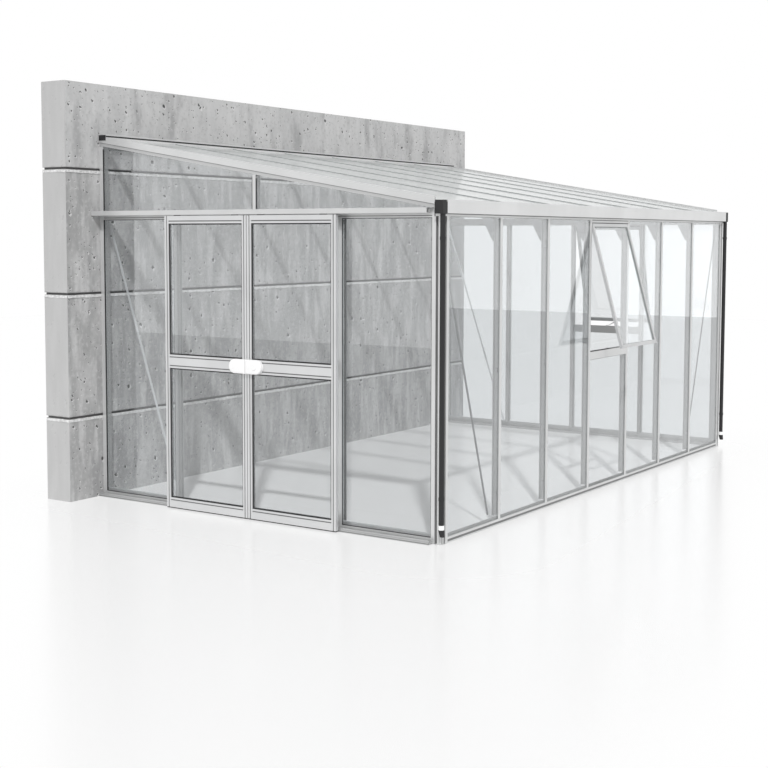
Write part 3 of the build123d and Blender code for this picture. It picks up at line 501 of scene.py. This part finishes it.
# %% [markdown]
# ## Modelling helpers
# Small pieces start as a cube or a cylinder at its size and place, and are then shaped in edit mode.
# An operator acts on all that is selected, so each helper first deselects everything, and faces are
# picked in code by where they lie or look. A finished piece keeps its place in its mesh, with its object
# at the origin, so that patterns lie on it as they do on the CAD nodes.

# %% Blocks and rods
def settle(piece):
    """Moves a piece's place, turn and size from the object into its mesh."""
    bpy.ops.object.select_all(action="DESELECT")
    piece.select_set(True)
    bpy.context.view_layer.objects.active = piece
    bpy.ops.object.transform_apply(location=True, rotation=True, scale=True)
    return piece


def block(low, high):
    """A cube primitive brought to the size between two corners."""
    bpy.ops.object.select_all(action="DESELECT")
    bpy.ops.mesh.primitive_cube_add(size=1, location=[(a + b) / 2 for a, b in zip(low, high)])
    piece = bpy.context.object
    piece.scale = [b - a for a, b in zip(low, high)]
    return settle(piece)


def rod(place, axis, radius, height, sides=6):
    """A cylinder primitive along one axis; six sides make a bolt's head."""
    turns = {"X": (0, pi / 2, 0), "Y": (pi / 2, 0, 0), "Z": (0, 0, 0)}
    bpy.ops.object.select_all(action="DESELECT")
    bpy.ops.mesh.primitive_cylinder_add(
        vertices=sides, radius=radius, depth=height, location=place, rotation=turns[axis])
    return settle(bpy.context.object)


print("helpers ready: settle, block, rod")

# %% Frames with an opening
def pick_faces(piece, test):
    """Selects the faces that pass a test of their middle and their direction."""
    mesh = bmesh.from_edit_mesh(piece.data)
    for face in mesh.faces:
        face.select_set(test(face.calc_center_median(), face.normal))
    bmesh.update_edit_mesh(piece.data)


def opened(piece, width, axis):
    """Cuts an opening along an axis: the two end faces are inset and bridged."""
    bpy.ops.object.mode_set(mode="EDIT")
    bpy.ops.mesh.select_mode(type="FACE")
    pick_faces(piece, lambda centre, normal: abs(normal[axis]) > 0.5)
    bpy.ops.mesh.inset(thickness=width, use_individual=True)
    bpy.ops.mesh.bridge_edge_loops()
    bpy.ops.object.mode_set(mode="OBJECT")
    return piece


def ring(low, high, width, axis):
    """A flat frame between two corners, as wide as a bead of rubber."""
    return opened(block(low, high), width, axis)


print("helpers ready: pick_faces, opened, ring")

# %% Copies and joins
def copied(piece, shift):
    """A copy with its own mesh, moved by a shift."""
    twin = piece.copy()
    twin.data = piece.data.copy()
    twin.data.transform(Matrix.Translation(shift))
    bpy.context.collection.objects.link(twin)
    return twin


def joined(parts, name, material, body="greenhouse"):
    """Joins the parts into one named piece, with its material and the body it rides on."""
    bpy.ops.object.select_all(action="DESELECT")
    for part in parts:
        part.select_set(True)
    bpy.context.view_layer.objects.active = parts[0]
    if len(parts) > 1:
        bpy.ops.object.join()
    piece = bpy.context.view_layer.objects.active
    piece.name = name
    piece.data.name = name
    bpy.ops.object.mode_set(mode="EDIT")
    bpy.ops.mesh.select_all(action="SELECT")
    bpy.ops.mesh.normals_make_consistent(inside=False)
    bpy.ops.object.mode_set(mode="OBJECT")
    bpy.ops.object.shade_smooth_by_angle(angle=radians(35))
    piece.data.materials.clear()
    piece.data.materials.append(material)
    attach(piece, body)
    print(name, len(piece.data.polygons), "faces")
    return piece


print("helpers ready: copied, joined")

# %% [markdown]
# ## Seals round the door panes
# A black rubber bead is pressed between each pane and its rails, on both sides. On the real door it is
# one long extrusion, cut to four lengths. Four mitred strips would do, but a block whose two broad faces
# are inset and bridged gives the whole ring at once, with clean corners.

# %% Door beads
door_stile, door_foot_rail, door_head_rail = 0.038, 0.070, 0.054
mid_rail_low, mid_rail_top = 1.018, 1.114
bead_width, bead_depth, bead_inset = 0.0085, 0.005, 0.0065
for side in ("left_door", "right_door"):
    low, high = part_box(side + "_frame")
    rings = []
    for z_low, z_high in ((low.z + door_foot_rail, mid_rail_low), (mid_rail_top, high.z - door_head_rail)):
        for x_low in (low.x + bead_inset, high.x - bead_inset - bead_depth):
            rings.append(ring((x_low, low.y + door_stile, z_low),
                              (x_low + bead_depth, high.y - door_stile, z_high), bead_width, 0))
    joined(rings, side + "_seals", rubber, side)

# %% [markdown]
# ## Feet of the door stiles
# Each hollow stile is closed at its foot by a black plug that glides along the low rail, and between the
# two plugs a thin brush strip hangs under the bottom rail. The plugs are blocks with bevelled edges,
# because a moulded plug has no sharp edge and its rounding catches the light. The brush is so thin that
# a plain strip reads as bristles.

# %% Plugs and brushes
foot_low, foot_top = 0.003, 0.0105
brush_low, brush_depth, foot_gap = 0.0035, 0.004, 0.001
for side in ("left_door", "right_door"):
    low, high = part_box(side + "_frame")
    feet = []
    for y_low in (low.y, high.y - door_stile):
        foot = block((low.x + foot_gap, y_low + foot_gap, foot_low),
                     (high.x - foot_gap, y_low + door_stile - foot_gap, foot_top))
        bpy.ops.object.mode_set(mode="EDIT")
        bpy.ops.mesh.select_mode(type="EDGE")
        bpy.ops.mesh.select_all(action="SELECT")
        bpy.ops.mesh.bevel(offset=0.0015, segments=2, affect="EDGES")
        bpy.ops.object.mode_set(mode="OBJECT")
        feet.append(foot)
    feet.append(block((low.x + foot_gap, low.y + door_stile + foot_gap, brush_low),
                      (low.x + foot_gap + brush_depth, high.y - door_stile - foot_gap, foot_top)))
    joined(feet, side + "_feet", charcoal, side)

# %% [markdown]
# ## Pull plate
# The two halves of the white pull meet over the gap between the doors. The real plate has a round outer
# end and a soft rim. A block with rounded corners would need many bevels, so each half starts as a thick
# disc: its inner side is drawn out past the meeting line and cut off square there with bisect, and its
# front face gets a wide bevel. It takes the place of the plain CAD handle and moves with its door.

# %% Two half plates
for side, way in (("left_door", 1), ("right_door", -1)):
    low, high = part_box(side + "_handle")
    radius = (high.z - low.z) / 2
    meeting = low.y if way > 0 else high.y
    centre_y = (high.y - radius) if way > 0 else (low.y + radius)
    pull = rod(((low.x + high.x) / 2, centre_y, (low.z + high.z) / 2), "X", radius, high.x - low.x, 48)
    bpy.ops.object.mode_set(mode="EDIT")
    bpy.ops.mesh.select_mode(type="VERT")
    mesh = bmesh.from_edit_mesh(pull.data)
    for vert in mesh.verts:
        vert.select_set((vert.co.y - centre_y) * way < -0.0001)
    mesh.select_flush_mode()
    bmesh.update_edit_mesh(pull.data)
    bpy.ops.transform.translate(value=(0, -way * (abs(centre_y - meeting) + radius), 0))
    bpy.ops.mesh.select_all(action="SELECT")
    bpy.ops.mesh.bisect(plane_co=(0, meeting, 0), plane_no=(0, way, 0), use_fill=True, clear_inner=True)
    bpy.ops.mesh.select_mode(type="FACE")
    pick_faces(pull, lambda centre, normal: normal.x < -0.9)
    bpy.ops.mesh.bevel(offset=0.010, segments=5, affect="EDGES")
    bpy.ops.object.mode_set(mode="OBJECT")
    joined([pull], side + "_pull", white_plastic, side)
    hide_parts(side + "_handle")

# %% [markdown]
# ## Seals round the fixed panes
# Between the caps of two bars a narrow bead of rubber shows on the glass. In the gables it is black, with
# a broader pale bead on the inner side of the pane; along the front it is pale. Upright black strips
# close the gaps beside the wall posts and the upper bars, and are also painted shade for the shaded
# sides of these bars. The beads could be cut from one long profile, but rings and strips that take
# their places from the bars' own grid need no fitting.

# %% The grid of bars
corner_width, front_bay, gable_bay = 0.065, 0.700, 0.726
front_xs = [x_near + corner_width + front_bay * i for i in range(8)]
gable_ys = [y_front + corner_width + gable_bay * i for i in range(5)]
bar_xs = front_xs[1:-1]
half_bar = 0.014
transom_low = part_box("window_fixed_rails")[0].z
transom_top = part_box("window_stays")[0].z
tie_low, front_head = 2.080, 2.088
print("bars at", [round(x, 3) for x in front_xs], [round(y, 3) for y in gable_ys])

# %% Beads in the gables
near_bays, far_bays, window_bay = (0, 3), (0, 1, 2, 3), 1
bead_foot, bead_from, bead_to = 0.038, 0.0025, 0.0058
back_foot, back_from, back_to = 0.060, cap_depth + glass_thickness + 0.0002, 0.0140
gable_rings, inner_rings = [], []
for x_outer, inward, bays in ((x_near, 1, near_bays), (x_far, -1, far_bays)):
    for bay in bays:
        top = transom_low if (inward < 0 and bay == window_bay) else tie_low
        for group, v_from, v_to, foot, width in ((gable_rings, bead_from, bead_to, bead_foot, 0.004),
                                                 (inner_rings, back_from, back_to, back_foot, 0.006)):
            x_low, x_high = sorted((x_outer + inward * v_from, x_outer + inward * v_to))
            group.append(ring((x_low, gable_ys[bay] + half_bar, foot),
                              (x_high, gable_ys[bay + 1] - half_bar, top), width, 0))
joined(inner_rings, "gable_inner_seals", pale_rubber)

# %% Upright strips beside the wall posts and the upper bars
strip_width = 0.006
post_strip_from, post_strip_to = 1.4640, 1.4705
tie_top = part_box("gable_ties")[1].z
upper_strips = ((gable_ys[0] + half_bar, 2.145),
                (gable_ys[2] - half_bar - strip_width, 2.355),
                (gable_ys[2] + half_bar, 2.366))
# These black strips are seals and also painted shade on the shaded sides of the wall posts and upper bars.
for x_outer, inward in ((x_near, 1), (x_far, -1)):
    x_low, x_high = sorted((x_outer - inward * 0.0008, x_outer + inward * bead_to))
    for foot, top in ((0.040, tie_low - 0.001), (tie_top + 0.001, 2.600)):
        gable_rings.append(block((x_low, post_strip_from, foot), (x_high, post_strip_to, top)))
    for y_low, top in upper_strips:
        gable_rings.append(block((x_low + 0.003, y_low, tie_top), (x_high, y_low + strip_width, top)))
joined(gable_rings, "gable_pane_seals", rubber)

# %% Beads along the front
window_front_bay = 3
front_rings = []
for bay in range(len(front_xs) - 1):
    top = transom_low if bay == window_front_bay else front_head
    front_rings.append(ring((front_xs[bay] + half_bar, y_front + bead_from, bead_foot),
                            (front_xs[bay + 1] - half_bar, y_front + bead_to, top), 0.004, 1))
joined(front_rings, "front_pane_seals", pale_rubber)

# %% [markdown]
# ## Seals and corner screws of the open windows
# Each sash hangs from its top edge and stands open by 15.5 degrees. Its beads and screws could be placed
# on the slant with a lot of sines. It is easier to make them upright, as on a closed window, and then to
# swing all of them out round the hinge line, as a hand would.

# %% Measures of the sashes
sash_low, sash_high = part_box("gable_window_frame")
hinge_z = sash_high.z
tilt = radians(15.5)
sash_rail, sash_height = 0.026, 0.975
front_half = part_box("front_window_frame")[1].x
gable_half = (sash_high.y - sash_low.y) / 2
gable_mid = (sash_high.y + sash_low.y) / 2
sash_foot = hinge_z - sash_height


def swung(parts, pivot, axis, angle):
    """Turns parts round a line through the pivot."""
    turn = Matrix.Translation(pivot) @ Matrix.Rotation(angle, 4, axis) @ Matrix.Translation(-Vector(pivot))
    for part in parts:
        part.data.transform(turn)
    return parts


print("hinge line", round(hinge_z, 3), "half widths", round(front_half, 3), round(gable_half, 3))

# %% Beads of the sashes
pane_low, pane_top = sash_foot + sash_rail, hinge_z - sash_rail
bead_thick = 0.006
front_beads, gable_beads = [], []
for behind in (0.0018, 0.0122):
    front_beads.append(ring((-front_half + sash_rail, y_front + behind, pane_low),
                            (front_half - sash_rail, y_front + behind + bead_thick, pane_top), 0.004, 1))
    gable_beads.append(ring((x_far - behind - bead_thick, sash_low.y + sash_rail, pane_low),
                            (x_far - behind, sash_high.y - sash_rail, pane_top), 0.004, 0))
swung(front_beads, (0, y_front, hinge_z), "X", -tilt)
swung(gable_beads, (x_far, 0, hinge_z), "Y", -tilt)
joined(front_beads + gable_beads, "window_seals", grey_rubber)

# %% Screws of the sashes
screw = rod((0, y_front - 0.0008, 0), "Y", 0.0045, 0.0024, 10)
screw_heights = (hinge_z - sash_rail / 2, sash_foot + sash_rail / 2)
front_screws = [copied(screw, (way * (front_half - sash_rail / 2), 0, height))
                for way in (-1, 1) for height in screw_heights]
screw.data.transform(Matrix.Translation((x_far + y_front, 0, 0)) @ Matrix.Rotation(pi / 2, 4, "Z"))
gable_screws = [copied(screw, (0, gable_mid + way * (gable_half - sash_rail / 2), height))
                for way in (-1, 1) for height in screw_heights]
bpy.data.objects.remove(screw)
swung(front_screws, (0, y_front, hinge_z), "X", -tilt)
swung(gable_screws, (x_far, 0, hinge_z), "Y", -tilt)
joined(front_screws + gable_screws, "window_screws", lock_steel)

# %% Rubber along the hinges and transoms
front_strips = ((hinge_z - 0.001, hinge_z + 0.004, 0.004),
                (front_head - 0.0035, front_head + 0.0005, 0.004),
                (transom_top - 0.001, transom_top + 0.007, 0.006))
gable_strips = ((hinge_z - 0.001, hinge_z + 0.004, 0.004),
                (transom_top - 0.001, transom_top + 0.003, 0.006))
hinge_seals = [block((-front_half, y_front - 0.001, z_low), (front_half, y_front + deep, z_high))
               for z_low, z_high, deep in front_strips]
hinge_seals += [block((x_far - deep, sash_low.y, z_low), (x_far + 0.001, sash_high.y, z_high))
                for z_low, z_high, deep in gable_strips]
joined(hinge_seals, "window_hinge_seals", rubber)

# %% [markdown]
# ## Stay pins
# A pin holds each strut to the transom below and to the sash above, and its round head shows against the
# sky. The upper end moves out with the sash, so its place is worked out from the same tilt. A short rod
# through the strut is enough, because only the two ends show.

# %% Pins of the struts
stay_length, stay_inset = 0.960, 0.020
reach = stay_length * sin(tilt) - stay_inset * cos(tilt)
drop = stay_length * cos(tilt) + stay_inset * sin(tilt)
pins = []
for height, out in ((transom_top + 0.006, -0.013), (hinge_z - drop, reach)):
    pins.append(rod((0, y_front - out, height), "X", 0.006, 0.016, 14))
    pins.append(rod((x_far + out, gable_mid, height), "Y", 0.006, 0.016, 14))
joined(pins, "stay_pins", lock_steel)

# %% [markdown]
# ## Bolts of the knee gussets
# Each gusset is bolted to its bar and to its rafter with four bolts. A bolt could have a head, a shank
# and a nut, but only a head shows on each side, so one six-sided rod through the plate stands for both.
# One bolt is modelled and copied to the four places on each of the six gussets.

# %% Gusset bolts
bolt_spots = ((0.0, 0.0), (0.0, 0.085), (0.045, 0.155), (0.100, 0.164))
first = rod((bar_xs[0], y_front + 0.070, 1.985), "X", 0.0065, 0.014, 6)
bolts = [copied(first, (x - bar_xs[0], forward, up)) for x in bar_xs for forward, up in bolt_spots]
bpy.data.objects.remove(first)
joined(bolts, "gusset_bolts", lock_steel)

# %% [markdown]
# ## Glass clips
# Spring clips hold the front panes against the bars, at three heights, on both sides of each bar. The
# real clip is a bent strip of steel. From outside it reads as a small wedge, so one block is made and its
# side away from the bar is scaled down in edit mode. Its mirror image serves the bar's other side.

# %% Spring clips
clip_heights = (0.20, 1.05, 1.88)
clip = block((bar_xs[0] + 0.005, y_front + 0.014, 0.0), (bar_xs[0] + 0.015, y_front + 0.030, 0.022))
bpy.ops.object.mode_set(mode="EDIT")
bpy.ops.mesh.select_mode(type="FACE")
pick_faces(clip, lambda centre, normal: normal.x > 0.5)
bpy.ops.transform.resize(value=(1, 0.4, 0.6))
bpy.ops.object.mode_set(mode="OBJECT")
flip = Matrix.Scale(-1, 4, (1, 0, 0))
clips = []
for height in clip_heights:
    for x in bar_xs:
        clips.append(copied(clip, (x - bar_xs[0], 0, height)))
        other = copied(clip, (-bar_xs[0], 0, height))
        other.data.transform(Matrix.Translation((x, 0, 0)) @ flip)
        clips.append(other)
bpy.data.objects.remove(clip)
joined(clips, "glass_clips", lock_steel)

# %% [markdown]
# ## Pipe brackets
# A charcoal collar holds each downpipe to its corner post, near the head and near the foot. A torus
# would give a round section, but the real collar is a flat band, so a short cylinder is inset on both
# ends and bridged into a band that clears the pipe.

# %% Collars
pipe_beside, pipe_behind = 0.017, -0.0105
collars = []
for x_pipe in (x_near - pipe_beside, x_far + pipe_beside):
    for height in (0.30, 1.95):
        collar = rod((x_pipe, y_front + pipe_behind, height), "Z", 0.0195, 0.020, 32)
        collars.append(opened(collar, 0.0022, 2))
joined(collars, "pipe_brackets", charcoal)

# %% [markdown]
# ## Trims on the feet of the roof sheets
# The open end of each ribbed sheet over the gutter is closed by a slim metal channel. Its lip is thinner
# than a pixel here, so a slim bar across the end of each sheet, cut short where the joint strips pass,
# looks the same and keeps clear of them.

# %% Sheet trims
strip_gap = 0.004
edges = [x_near + half_bar] + bar_xs + [x_far - half_bar]
trims = []
for i, (x_low, x_high) in enumerate(zip(edges, edges[1:])):
    first_gap = 0.0 if i == 0 else strip_gap
    last_gap = 0.0 if i == len(bar_xs) else strip_gap
    trims.append(block((x_low + first_gap, y_front + 0.0005, 2.1768),
                       (x_high - last_gap, y_front + 0.012, 2.1905)))
joined(trims, "sheet_end_trims", roof_metal)

# %% [markdown]
# ## Lips of the board joints
# Where two boards met, cement ran out and left a ragged pale lip under each groove of the wall. A
# straight strip would look like tape, and noise in the material alone has no edge to catch the light.
# A fine grid gets its raggedness by moving its points at random, with a seed so that each run gives the
# same lip, and is then extruded to a thickness of 4 mm.

# %% A ragged strip
lip_width, lip_thickness, lip_ragged = 0.019, 0.004, 0.0045


def lip(middle, along, length, out, seed):
    """A ragged strip lying on the wall: along is the way it runs and out the way that it looks."""
    bpy.ops.object.select_all(action="DESELECT")
    cuts = max(6, int(length / 0.02))
    bpy.ops.mesh.primitive_grid_add(x_subdivisions=cuts, y_subdivisions=3, size=1)
    strip = bpy.context.object
    strip.scale = (length, lip_width, 1)
    settle(strip)
    bpy.ops.object.mode_set(mode="EDIT")
    bpy.ops.mesh.select_all(action="SELECT")
    bpy.ops.transform.vertex_random(offset=lip_ragged, seed=seed)
    bpy.ops.mesh.extrude_region_move(TRANSFORM_OT_translate={"value": (0, 0, lip_thickness)})
    bpy.ops.object.mode_set(mode="OBJECT")
    frame_axes = Matrix((along, (0, 0, 1), out)).transposed().to_4x4()
    strip.data.transform(Matrix.Translation(middle) @ frame_axes)
    return strip


print("a lip is", lip_width, "m wide and", lip_thickness, "m thick")

# %% Lips on the wall
wall_end, wall_mid = wall_high.x - 0.002, (wall_low.y + wall_high.y) / 2
runs = ((-wall_end, x_near - 0.002), (x_near + 0.057, x_far - 0.057), (x_far + 0.002, wall_end))
lips = []
for number, joint in enumerate(joint_heights):
    z = joint - 0.0195
    for x_from, x_to in runs:
        middle = ((x_from + x_to) / 2, y_wall - 0.001, z)
        lips.append(lip(middle, (1, 0, 0), x_to - x_from, (0, -1, 0), number * 3 + 1))
    lips.append(lip((wall_low.x + 0.001, wall_mid, z), (0, -1, 0), 0.236, (-1, 0, 0), number + 20))
    lips.append(lip((wall_high.x - 0.001, wall_mid, z), (0, 1, 0), 0.236, (1, 0, 0), number + 30))
lip_material, tree, shader, where = start_material("cement_lip")
crumbs = map_range(tree, noise(tree, where, 40.0, 4.0), 0.35, 0.65, 0, 1)
tree.links.new(mix_colour(tree, crumbs, grey(0.60), grey(0.82)), shader.inputs["Base Color"])
shader.inputs["Roughness"].default_value = 0.85
joined(lips, "board_joint_lips", lip_material)

# %% [markdown]
# ## Floor
# The greenhouse stands on a plain pale floor that is no part of it. Inside, the floor is an ordinary
# surface that takes the shadows of the bars. Outside, it has to fade into a white backdrop. Two planes
# would show a seam. One plane is used, and its material changes with the distance from the frame: outside
# it glows more and more, up to pure white, and shines at a low angle. It glows only for the camera,
# straight on or by way of panes and mirrors, so it doesn't light the object. It ends where its far edge,
# mirrored in a pane, lies as high as in the panes of the photo.

# %% What the camera sees
def seen_directly(tree):
    """Two masks: rays from the camera, also by a mirror or through glass, and rays off a sharp mirror."""
    path = tree.nodes.new("ShaderNodeLightPath")
    seen = math(tree, "MAXIMUM", path.outputs["Is Camera Ray"], path.outputs["Is Glossy Ray"])
    return math(tree, "MAXIMUM", seen, path.outputs["Is Transmission Ray"]), path.outputs["Is Singular Ray"]


def blended(tree, factor, first, second):
    """One shader turning into another by a factor."""
    node = tree.nodes.new("ShaderNodeMixShader")
    tree.links.new(factor, node.inputs["Fac"])
    tree.links.new(first, node.inputs[1])
    tree.links.new(second, node.inputs[2])
    return node.outputs["Shader"]


print("helpers ready: seen_directly, blended")

# %% The floor's material
room_half_x, room_half_y = 2.52, 1.49
fade_start, fade_reach = 0.02, 1.4
floor_mirror_glow = 0.20


def floor_material():
    """Plain inside the frame; outside a glow to white, with a sheen at a low angle."""
    material, tree, shader, where = start_material("floor")
    shader.inputs["Base Color"].default_value = (*grey(0.97), 1)
    shader.inputs["Roughness"].default_value = 0.6
    place = coordinates(tree, where)
    outs = []
    for axis, half in (("X", room_half_x), ("Y", room_half_y)):
        past = math(tree, "SUBTRACT", math(tree, "ABSOLUTE", place[axis]), half)
        past = math(tree, "MAXIMUM", past, 0.0)
        outs.append(math(tree, "MULTIPLY", past, past))
    away = math(tree, "SQRT", math(tree, "ADD", *outs))
    outside = map_range(tree, away, 0.0, fade_start, 0.0, 1.0)
    seen, singular = seen_directly(tree)
    glow = tree.nodes.new("ShaderNodeEmission")
    glow.inputs["Color"].default_value = (1, 1, 1, 1)
    strength = math(tree, "ADD", math(tree, "MULTIPLY", singular, floor_mirror_glow), 1.0)
    tree.links.new(strength, glow.inputs["Strength"])
    sheen = tree.nodes.new("ShaderNodeBsdfGlossy")
    sheen.inputs["Roughness"].default_value = 0.20
    sheen.inputs["Color"].default_value = (1, 1, 1, 1)
    facing = tree.nodes.new("ShaderNodeLayerWeight")
    facing.inputs["Blend"].default_value = 0.5
    slant = math(tree, "POWER", facing.outputs["Facing"], 5.0)
    plain, shine = shader.outputs["BSDF"], sheen.outputs["BSDF"]
    glowing = map_range(tree, away, 0.0, fade_reach, 0.80, 1.0)
    outdoors = blended(tree, glowing, plain, glow.outputs["Emission"])
    outdoors = blended(tree, map_range(tree, slant, 0.0, 1.0, 0.02, 0.70), outdoors, shine)
    indoor_shine = math(tree, "MULTIPLY", math(tree, "MULTIPLY", slant, 0.6), seen)
    indoors = blended(tree, indoor_shine, plain, shine)
    shown = blended(tree, math(tree, "MULTIPLY", seen, outside), indoors, outdoors)
    tree.links.new(shown, tree.nodes["Material Output"].inputs["Surface"])
    return material


print("the floor turns white within", fade_reach, "m of the frame")

# %% The floor plane
floor_near, floor_far, floor_half, floor_top = -15.5, 22.3, 20.0, -0.0005
bpy.ops.object.select_all(action="DESELECT")
bpy.ops.mesh.primitive_plane_add(size=1, location=((floor_near + floor_far) / 2, 0, floor_top))
floor = bpy.context.object
floor.scale = (floor_far - floor_near, 2 * floor_half, 1)
settle(floor)
floor.name = "floor"
floor.data.materials.append(floor_material())
floor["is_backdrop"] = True
print("floor of", [round(v, 1) for v in floor.dimensions[:2]], "m")

# %% [markdown]
# ## Sky and lamp
# The light is plain and soft: an even white sky and one soft sun, halfway up on the camera's side. Area
# lamps would do for a small object, but on a building they fall off from end to end, and a sky and a sun
# do not. The sky lights the object at about half strength. The camera sees it pure white, and a sharp
# mirror such as a pane sees it brighter still, which gives the panes their pale reflections.

# %% The sky
sky_light, sky_mirror_glow = 0.53, 0.85
world = bpy.data.worlds.new("studio")
bpy.context.scene.world = world
world.use_nodes = True
tree = world.node_tree
light_sky = tree.nodes["Background"]
light_sky.inputs["Color"].default_value = (1, 1, 1, 1)
light_sky.inputs["Strength"].default_value = sky_light
white_sky = tree.nodes.new("ShaderNodeBackground")
white_sky.inputs["Color"].default_value = (1, 1, 1, 1)
seen, singular = seen_directly(tree)
strength = math(tree, "ADD", math(tree, "MULTIPLY", singular, sky_mirror_glow), 1.0)
tree.links.new(strength, white_sky.inputs["Strength"])
shown = blended(tree, seen, light_sky.outputs["Background"], white_sky.outputs["Background"])
tree.links.new(shown, tree.nodes["World Output"].inputs["Surface"])
print("sky lights at", sky_light)

# %% The sun
sun_data = bpy.data.lights.new("key_light", "SUN")
sun_data.energy = 2.0
sun_data.angle = radians(2.6)
sun = bpy.data.objects.new("key_light", sun_data)
sun.rotation_euler = Vector((0.84, 0.60, -1.0)).to_track_quat("-Z", "Y").to_euler()
sun.visible_glossy = False
bpy.context.collection.objects.link(sun)
print("sun of strength", sun_data.energy)

# %% [markdown]
# ## Camera
# The photo was taken from about eight metres off the near corner, a little under the eaves, with a fairly
# long lens. The camera could be set by eye, but a place, a direction and a lens worked out from the ends
# of known bars put every edge where the photo has it. The picture is also shifted down a little, which
# brings the greenhouse up in the frame without tilting its posts.

# %% The camera at the photo's place
camera_data = bpy.data.cameras.new("camera")
camera_data.lens = 63.8
camera_data.shift_y = -0.0574
camera = bpy.data.objects.new("camera", camera_data)
camera.location = (-9.824, -5.923, 1.960)
aim = Vector((0.82934, 0.55358, -0.07581)).to_track_quat("-Z", "Y")
roll = radians(0.13)
camera.rotation_euler = (aim @ Quaternion((0, 0, 1), roll)).to_euler()
bpy.context.collection.objects.link(camera)
scene = bpy.context.scene
scene.camera = camera
scene.view_settings.view_transform = "Standard"
print("camera at", tuple(round(v, 3) for v in camera.location))

# %% [markdown]
# ## Size
# The box round all that is drawn, the frame and what was added without the floor, is printed. Nothing
# that was added may make the greenhouse larger than its frame, apart from thin rims.

# %% Print the box
low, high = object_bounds()
print("visual box", [round(v, 3) for v in low], [round(v, 3) for v in high])
